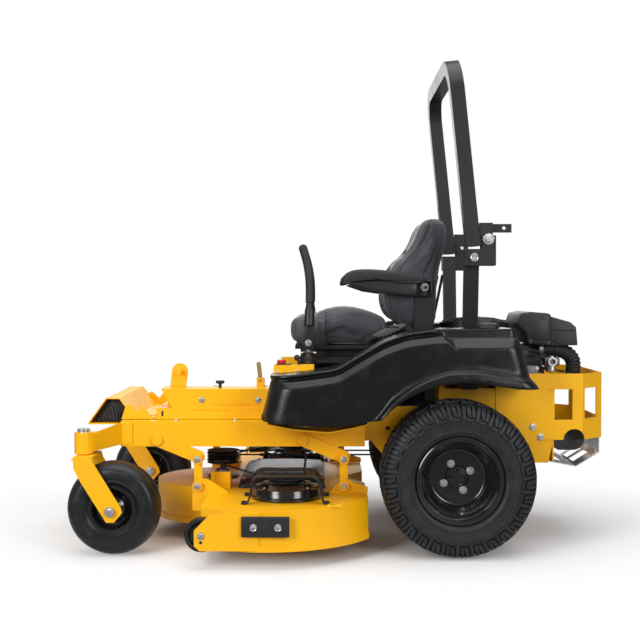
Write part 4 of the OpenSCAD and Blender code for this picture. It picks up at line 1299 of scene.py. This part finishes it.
DOME = [(0.034, 0.2215), (0.142, 0.2215), (0.1428, 0.2235), (0.142, 0.2315), (0.1375, 0.2345), (0.1355, 0.2375),
        (0.1345, 0.2560), (0.1325, 0.2620), (0.1270, 0.2655), (0.1120, 0.2670), (0.1060, 0.2690), (0.0960, 0.2755),
        (0.0900, 0.2775), (0.0600, 0.2785), (0.0560, 0.2765), (0.0520, 0.2765), (0.0480, 0.2785), (0.0360, 0.2785),
        (0.0340, 0.2765)]
STRAP = [(0.834, 0.2235), (0.818, 0.224), (0.808, 0.232), (0.800, 0.262), (0.792, 0.304), (0.784, 0.318),
         (0.768, 0.3235), (0.730, 0.3245), (0.600, 0.3245), (0.566, 0.3230), (0.548, 0.314), (0.538, 0.296),
         (0.530, 0.262), (0.524, 0.232), (0.515, 0.224), (0.500, 0.2235)]
spot = middle("left_spindle")
OUT_X, OUT_Y = spot.x - AXLE.x, spot.y - AXLE.y
parts = []
for s in (-1, 1):
    shift = OUT_X - 0.667
    parts.append(upright("dome", at(OUT_X, s * OUT_Y, 0), DOME, gloss_black, 128))
    for y in (OUT_Y + 0.150, OUT_Y - 0.030):
        parts.append(flat_bar("strap", [(x + shift, z) for x, z in STRAP], s * y, 0.040, 0.007, black_coat))
    for x in (0.768, 0.566):
        low, high = sorted((s * (OUT_Y - 0.030), s * (OUT_Y + 0.150)))
        parts.append(slab("tie", (x - 0.012, low, 0.3185), (x + 0.012, high, 0.3225), black_coat, 0.0015))
    for x in (0.826, 0.508):
        for y in (OUT_Y + 0.150, OUT_Y - 0.030):
            parts.append(hex_bolt("bolt", (x, s * y, 0.2255), (0, 0, 1), 0.015, dark_steel))
    for k in range(4):
        a = math.radians(45 + 90 * k)
        parts.append(hex_bolt("bolt", (OUT_X + 0.118 * math.cos(a), s * OUT_Y + 0.118 * math.sin(a), 0.2665),
                              (0, 0, 1), 0.012, zinc, washer=False))
HOUSING = [(0.0131, 0.171), (0.040, 0.171), (0.044, 0.180), (0.044, 0.216), (0.064, 0.2215), (0.066, 0.2225),
           (0.065, 0.2300), (0.048, 0.2330), (0.034, 0.2420), (0.030, 0.2560), (0.022, 0.2580), (0.0131, 0.2580)]
for name in ("left_spindle", "centre_spindle", "right_spindle"):
    centre = middle(name)
    housing = upright("housing", Vector((centre.x, centre.y, 0)), HOUSING, cast, 64)
    parts.append(housing)

# the bumper pad is one moulding with a soft crease down its middle and two bolts through it
pad_rings = []
for x, y_out in ((0.6475, 0.7975), (0.650, 0.8005), (0.660, 0.8015), (0.733, 0.8000), (0.737, 0.7990),
                 (0.741, 0.8000), (0.815, 0.7985), (0.822, 0.7975), (0.8245, 0.7945)):
    ring = [(0.786, 0.126), (y_out - 0.003, 0.1255), (y_out, 0.129), (y_out, 0.198), (y_out - 0.003, 0.2015),
            (0.786, 0.201)]
    pad_rings.append([at(x, y, z) for y, z in ring])
bumper = skin("bumper", pad_rings, soft_rubber)
parts.append(rounded(bumper, 0.002, 2, 40))
for x in (0.6895, 0.7800):
    parts.append(turned("cup", at(x, 0.8003, 0.1615), [(0.0005, 0.0), (0.0115, 0.0), (0.0135, 0.0012),
                        (0.0125, 0.0022), (0.0100, 0.0012), (0.0005, 0.0012)], zinc, 40))
    parts.append(hex_bolt("bolt", (x, 0.8012, 0.1615), (0, 1, 0), 0.0125, zinc, washer=False))
trim = join("deck_trim_detail", parts)
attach(trim, "deck")
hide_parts("deck_trim")

# %% [markdown]
# A low black tray covers the middle of the deck under the belts, ribbed along its length, and small folded
# tabs, weld beads and the roller axle bolts break up the yellow plate.

# %% Deck tray and tabs
def tray():
    rings = []
    for x, lift in ((0.515, 0.0), (0.520, 0.022), (0.545, 0.034), (0.60, 0.038), (0.70, 0.040), (0.80, 0.038),
                    (0.850, 0.032), (0.868, 0.020), (0.872, 0.0)):
        ring = []
        for k in range(41):
            t = k / 40
            y = -0.30 + 0.60 * t
            edge = min(t, 1 - t) * 12
            rib = 0.004 * math.sin(t * math.pi * 14) ** 2
            ring.append(at(x, y, 0.2215 + (lift + rib) * min(edge, 1.0) ** 0.5))
        ring += [at(x, 0.30 - 0.60 * k / 40, 0.2210) for k in range(41)]
        rings.append(ring)
    return skin("tray", rings, gloss_black)


parts = [tray()]
for x, y in ((0.54, 0.24), (0.54, -0.24), (0.85, 0.24), (0.85, -0.24)):
    parts.append(hex_bolt("bolt", (x, y, 0.250), (0, 0, 1), 0.014, zinc))
tray_piece = join("deck_centre_tray", parts)
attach(tray_piece, "deck")

parts = [plate("tab", [(0.450, 0.2205), (0.512, 0.2205), (0.505, 0.2330), (0.494, 0.2250), (0.478, 0.2250),
                       (0.462, 0.2330)], 0.700, 0.706, yellow, 0.001)]
for x0, x1, y in ((0.906, 0.984, 0.2895), (0.50, 0.345, 0.4085)):
    bead = smooth_path([at(x0, y, 0.2215), at((x0 + x1) / 2, y, 0.2220), at(x1, y, 0.2215)], 12)
    parts.append(bar("bead", bead, [0.0028 + 0.0006 * math.sin(i * 2.1) for i in range(len(bead))], yellow, 8))
for s in (-1, 1):
    parts.append(hex_bolt("axle", (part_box("left_roller")[0].x + 0.0635 - AXLE.x, s * 0.7855,
                                   middle("left_roller").z), (0, s, 0), 0.019, zinc))
    parts.append(turned("slot", at(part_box("left_roller")[0].x + 0.0635 - AXLE.x, s * 0.7853,
                                   middle("left_roller").z - 0.024),
                 [(0.0005, 0.0), (0.0058, 0.0), (0.0058, s * 0.0004), (0.0005, s * 0.0004)], soft_rubber, 24))
tabs = join("deck_tabs", parts)
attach(tabs, "deck")

# %% [markdown]
# Each anti-scalp roller is a moulded wheel with a crowned tread, a recessed web and a hub boss.

# %% Anti-scalp rollers
def roller(name):
    low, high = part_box(name)
    centre = (low + high) / 2
    r, half = (high.z - low.z) / 2, (high.y - low.y) / 2
    side = [(0.0064, half * 0.96), (r * 0.24, half), (r * 0.28, half * 0.90), (r * 0.32, half * 0.55),
            (r * 0.66, half * 0.50), (r * 0.72, half * 0.86), (r * 0.80, half), (r * 0.93, half * 0.96),
            (r * 0.985, half * 0.74), (r, half * 0.3)]
    profile = side + [(q, -y) for q, y in side[::-1]]
    made = turned(name + "_moulded", centre, profile, caster_rubber, 96)
    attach(made, name)
    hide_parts(name)


roller("left_roller")
roller("right_roller")

# %% [markdown]
# Bolts on round bosses, at the top and foot of every hanger link, show how the deck hangs from its lift arms.

# %% Lift bolts
def lift_bolts(node, places, side_y, size):
    parts = []
    for x, z in places:
        for s in (-1, 1):
            boss = [(0.0005, 0.0), (0.019, 0.0), (0.0205, 0.001), (0.0195, 0.003), (0.0005, 0.003)]
            parts.append(turned("boss", at(x, s * side_y, z), [(r, s * y) for r, y in boss], yellow, 48))
            parts.append(hex_bolt("bolt", (x, s * (side_y + 0.003), z), (0, s, 0), size, zinc))
    made = join(node + "_bolts", parts)
    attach(made, node)


for end, foot_x in (("front", 1.026), ("rear", 0.440)):
    low, high = (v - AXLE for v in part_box(f"{end}_hangers"))
    lift_bolts(f"{end}_hangers", [(foot_x, 0.250), (foot_x, high.z - 0.022)], high.y, 0.019)

# %% [markdown]
# Behind the seat the engine shows as a stack of black covers: a domed fan screen, a shroud, and a two-part air
# cleaner hood with a step between its halves. A ribbed intake elbow drops from the hood to the carburettor.

# %% Air cleaner and intake
def hooded(name, outline, half, edge, material):
    """A boxy cover with its long edges rounded over."""
    made = plate(name, outline, -half, half, material)
    return rounded(made, edge, 3, 25)


HOOD = [(-0.298, 0.880), (-0.300, 0.903), (-0.312, 0.937), (-0.354, 0.943), (-0.418, 0.938), (-0.4375, 0.933),
        (-0.4375, 0.800), (-0.338, 0.806), (-0.334, 0.852)]
BOX = [(-0.435, 0.924), (-0.5190, 0.900), (-0.5440, 0.878), (-0.5505, 0.806), (-0.5480, 0.802), (-0.435, 0.800)]
parts = [hooded("hood", HOOD, 0.168, 0.010, cover_plastic), hooded("box", BOX, 0.160, 0.009, cover_plastic)]
for s in (-1, 1):
    low, high = sorted((s * 0.1655, s * 0.1700))
    parts.append(plate("panel", [(-0.352, 0.838), (-0.352, 0.900), (-0.366, 0.914), (-0.424, 0.908), (-0.424, 0.824),
                                 (-0.360, 0.826)], low, high, cover_plastic, 0.0018))
    low, high = sorted((s * 0.1560, s * 0.1630))
    parts.append(plate("rib", [(-0.4400, 0.868), (-0.4400, 0.874), (-0.5430, 0.868), (-0.5430, 0.862)],
                       low, high, cover_plastic, 0.0015))
    for x, z in ((-0.350, 0.818), (-0.425, 0.812)):
        parts.append(hex_bolt("clip", (x, s * 0.168, z), (0, s, 0), 0.012, dark_steel))
    parts.append(hex_bolt("latch", (-0.470, s * 0.160, 0.818), (0, s, 0), 0.016, cover_plastic, washer=False))
base = slab("base", (-0.420, -0.060, 0.702), (-0.310, 0.060, 0.802), cast, 0.006)
parts.append(base)
path = smooth_path([at(-0.395, 0.105, 0.786), at(-0.450, 0.112, 0.784), at(-0.505, 0.118, 0.772),
                    at(-0.536, 0.120, 0.742), at(-0.541, 0.118, 0.705), at(-0.538, 0.112, 0.672)], 14)
radii = [0.031 + 0.0022 * math.sin(i * 1.45) * (0.2 < i / len(path) < 0.8) for i in range(len(path))]
parts.append(bar("elbow", path, radii, soft_rubber, 32))
for i in (3, len(path) - 5):
    clamp = path[i - 2 : i + 3]
    parts.append(bar("clamp", clamp, 0.0335, zinc, 32))
cleaner = join("air_cleaner_hood", parts)
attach(cleaner, "chassis")
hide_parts("air_cleaner")

# %% [markdown]
# The fan screen's stacked rings, the cooling louvres, and the small things round the carburettor: a cast body,
# a fuel line, a throttle cable and a breather hose.

# %% Fan screen and carburettor
crank = middle("crank_pulley") - AXLE
fan = at(crank.x, 0.0, 0.0)
screen = [(0.001, 0.8965)]
for k in range(5):
    r = 0.140 - 0.012 * k
    z = 0.8965 + 0.0035 * k
    screen += [(r, z), (r, z + 0.0050), (r - 0.0055, z + 0.0055), (r - 0.0055, z + 0.0005)]
screen += [(0.060, 0.9140), (0.055, 0.9180), (0.030, 0.9200), (0.001, 0.9200)]
parts = [upright("screen", fan, screen, cover_plastic, 96)]
for k in range(12):
    a = 2 * math.pi * k / 12
    inner, outer = (fan + Vector((r * math.cos(a), r * math.sin(a), z))
                    for r, z in ((0.052, 0.9160), (0.138, 0.9020)))
    parts.append(bar("spoke", [inner, outer], 0.0028, cover_plastic, 8))
rim_ring = [(0.149, 0.862), (0.1555, 0.863), (0.1565, 0.868), (0.1555, 0.873), (0.149, 0.874)]
parts.append(upright("hoop", fan, rim_ring, cover_plastic, 96))
for k in range(6):
    z = 0.786 - 0.017 * k
    for s in (-1, 1):
        low, high = sorted((s * 0.2300, s * 0.2380))
        parts.append(slab("louvre", (-0.268, low, z - 0.005), (-0.034, high, z), cover_plastic, 0.0018))
for s in (-1, 1):
    low, high = sorted((s * 0.150, s * 0.2345))
    parts.append(slab("cap", (-0.285, low, 0.7805), (-0.012, high, 0.800), cover_plastic, 0.007, 3))
    for x in (-0.262, -0.040):
        parts.append(hex_bolt("bolt", (x, s * 0.205, 0.800), (0, 0, 1), 0.014, zinc))
shroud = join("fan_screen", parts)
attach(shroud, "chassis")

parts = []
for y in (0.130, -0.060):
    parts.append(slab("body", (-0.470, y, 0.716), (-0.405, y + 0.060, 0.752), cast, 0.006, 3))
    bowl = [(0.001, 0.690), (0.018, 0.690), (0.023, 0.696), (0.023, 0.717), (0.001, 0.717)]
    parts.append(upright("bowl", at(-0.437, y + 0.030, 0), bowl, zinc, 40))
    parts.append(hex_bolt("drain", (-0.437, y + 0.030, 0.690), (0, 0, -1), 0.010, zinc))
    parts.append(turned("throat", at(-0.437, y + 0.062, 0.735), [(0.012, 0.0), (0.019, 0.0), (0.019, 0.012),
                 (0.012, 0.012)], zinc, 40))
for y0, points in ((0.200, ((-0.300, 0.742), (-0.345, 0.765), (-0.392, 0.752), (-0.430, 0.728))),
                   (0.214, ((-0.292, 0.790), (-0.350, 0.784), (-0.410, 0.762), (-0.462, 0.718))),
                   (0.186, ((-0.300, 0.700), (-0.360, 0.716), (-0.430, 0.700), (-0.500, 0.690)))):
    parts.append(bar("line", smooth_path([at(x, y0 - 0.02 * i, z) for i, (x, z) in enumerate(points)], 12),
                     0.0045, soft_rubber, 12))
for y in (0.170, -0.170):
    parts.append(slab("rocker", (-0.380, min(y, y * 1.28), 0.640), (-0.300, max(y, y * 1.28), 0.720), cast, 0.010, 3))
    for x in (-0.368, -0.312):
        for z in (0.652, 0.708):
            parts.append(hex_bolt("bolt", (x, y * 1.28, z), (0, math.copysign(1, y), 0), 0.011, zinc))
carb = join("carburettor_group", parts)
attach(carb, "chassis")

# %% [markdown]
# The silencer is a flattened drum across the back with rolled end seams and two outlet stubs.

# %% Silencer
def stadium(r, x0, x1, z, count=24):
    left = [(x0 + r * math.cos(a), z + r * math.sin(a)) for a in
            (math.radians(90 + 180 * k / count) for k in range(count + 1))]
    right = [(x1 + r * math.cos(a), z + r * math.sin(a)) for a in
             (math.radians(-90 + 180 * k / count) for k in range(count + 1))]
    return left + right


low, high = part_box("muffler")
low, high = low - AXLE, high - AXLE
r_drum = 0.0445
z_drum = (low.z + high.z) / 2
rings = []
for y, grow in ((-0.230, -0.012), (-0.229, 0.0005), (-0.2225, 0.0015), (-0.2215, -0.001), (-0.10, -0.001),
                (-0.098, 0.001), (-0.092, 0.001), (-0.090, -0.001), (0.090, -0.001), (0.092, 0.001), (0.098, 0.001),
                (0.10, -0.001), (0.2215, -0.001), (0.2225, 0.0015), (0.229, 0.0005), (0.230, -0.012)):
    rings.append([at(x, y, z) for x, z in stadium(r_drum + grow, low.x + r_drum, high.x - r_drum, z_drum)])
drum = skin("drum", rings, dark_steel)
stubs = [turned("stub", at(low.x + 0.052, s * 0.150, z_drum - 0.012), [(0.014, 0.0), (0.018, 0.0), (0.018, s * 0.02),
                (0.014, s * 0.02)], dark_steel, 32) for s in (-1, 1)]
silencer = join("silencer_drum", [drum, *stubs])
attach(silencer, "chassis")
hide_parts("muffler")

# %% [markdown]
# Bolts fix the guard to the frame on both sides, a ring of bolts marks each wheel motor, and hoses run forward from
# the motors.

# %% Guard bolts and wheel motor details
parts = []
for s in (-1, 1):
    for x, z in ((-0.330, 0.477), (-0.362, 0.436)):
        parts.append(hex_bolt("bolt", (x, s * (0.3295), z), (0, s, 0), 0.020, zinc))
    for k in range(5):
        a = math.radians(72 * k)
        parts.append(hex_bolt("bolt", (0.055 * math.cos(a), s * 0.318, 0.3025 + 0.055 * math.sin(a)), (0, s, 0),
                              0.013, zinc, washer=False))
    parts.append(bar("hose", smooth_path([at(0.060, s * 0.225, 0.440), at(0.110, s * 0.228, 0.480),
                                          at(0.200, s * 0.200, 0.470), at(0.290, s * 0.150, 0.500)], 12),
                     0.010, soft_rubber, 16))
    parts.append(bar("hose", smooth_path([at(0.075, s * 0.200, 0.380), at(0.150, s * 0.215, 0.372),
                                          at(0.230, s * 0.225, 0.410), at(0.300, s * 0.205, 0.480)], 12),
                     0.010, soft_rubber, 16))
fittings = join("frame_fittings", parts)
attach(fittings, "chassis")

# %% [markdown]
# Each fork carries a washer and a big bolt on both ends of its axle, and weld beads along its legs.

# %% Caster pivots and forks
for s, name in ((1, "left_fork"), (-1, "right_fork")):
    parts = []
    for side in (-1, 1):
        y = s * CASTER.y + side * 0.1105
        washer = [(0.0005, -0.001), (0.0195, -0.001), (0.0205, 0.0005), (0.0195, 0.0028), (0.0005, 0.0028)]
        parts.append(turned("washer", at(CASTER.x, y, CASTER.z), [(r, side * q) for r, q in washer], zinc, 48))
        parts.append(hex_bolt("bolt", (CASTER.x, y + side * 0.0026, CASTER.z), (0, side, 0), 0.027, zinc,
                              washer=False))
        y = s * CASTER.y + side * 0.094
        weld = [(CASTER.x + 0.150, 0.381), (CASTER.x + 0.120, 0.3815), (CASTER.x + 0.075, 0.3812)]
        path = smooth_path([at(x, y - side * 0.005, z) for x, z in weld], 14)
        parts.append(bar("weld", path, [0.0030 + 0.0007 * math.sin(i * 1.9) for i in range(len(path))], yellow, 8))
    made = join(name + "_fittings", parts)
    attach(made, name)

# %% [markdown]
# The foot rest is a folded sheet. Under its ridge a dark panel, with a row of dark bars before it, fills the open
# side:
# this is painted shade, standing in for the shaded hollow there. Grip strips and bolts mark the floor panel.

# %% Foot rest and floor
parts = []
# painted shade: this dark panel stands in for the shaded hollow under the foot rest's ridge
SHADE_PANEL = [(1.304, 0.512), (1.357, 0.582), (1.410, 0.583), (1.474, 0.497), (1.474, 0.491), (1.304, 0.491)]
for s in (-1, 1):
    low, high = sorted((s * 0.262, s * 0.268))
    parts.append(plate("shade_panel", SHADE_PANEL, low, high, soft_rubber, 0.001))
    # the dark bars before the panel give that shaded hollow its texture: painted shade too
    for k in range(9):
        t = k / 8
        x = 1.330 + 0.110 * t
        top = 0.560 - 0.062 * abs(t - 0.45) * 1.8
        parts.append(bar("grip", [at(x, s * 0.270, 0.497), at(x + 0.012, s * 0.270, top)], 0.0048, dark_steel, 8))
shade_panel_piece = join("foot_rest_shade_panel", parts)
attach(shade_panel_piece, "chassis")

parts = []
for s in (-1, 1):
    for x in (0.790, 1.020):
        parts.append(hex_bolt("bolt", (x, s * 0.3065, 0.584), (0, s, 0), 0.017, zinc))
    low, high = sorted((s * 0.3065, s * 0.3085))
    parts.append(slab("seam", (0.815, low, 0.566), (0.975, high, 0.5685), yellow, 0.0006))
    low, high = sorted((s * 0.3185, s * 0.3200))
    parts.append(slab("slot", (1.176, low, 0.519), (1.184, high, 0.541), dark_steel, 0.0005))
    for x in (0.62, 0.88, 1.12):
        parts.append(hex_bolt("bolt", (x, s * 0.350, 0.505), (0, 0, 1), 0.016, zinc))
floor_bits = join("floor_fittings", parts)
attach(floor_bits, "chassis")


def tread_strips():
    """Raised bars of a grip mat on the floor panel."""
    strips = []
    for k in range(17):
        x = 0.760 + 0.025 * k
        strips.append(slab("strip", (x, -0.27, 0.5545), (x + 0.009, 0.15, 0.5582), soft_rubber, 0.0012, 1))
    return strips


mat = join("floor_grip_mat", tread_strips())
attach(mat, "chassis")

# %% [markdown]
# The roll bar folds on big hinge bolts. Each side also has a lock pin on a ring.

# %% Roll bar hinges
HINGE_X, HINGE_Z = -0.130, 1.235
for s in (-1, 1):
    parts = [hex_bolt("hinge", (HINGE_X, s * 0.4520, HINGE_Z), (0, s, 0), 0.030, zinc)]
    pin = smooth_path([at(-0.073, s * 0.436, 1.172), at(-0.073, s * 0.462, 1.172)], 4)
    parts.append(bar("pin", pin, 0.0075, zinc, 20))
    ring = [at(-0.073 + 0.014 * math.cos(a), s * 0.463, 1.160 + 0.014 * math.sin(a)) for a in
            (2 * math.pi * k / 24 for k in range(25))]
    parts.append(bar("ring", ring, 0.0016, zinc, 8))
    made = join(f"roll_bar_hinge_{'left' if s > 0 else 'right'}", parts)
    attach(made, "chassis")
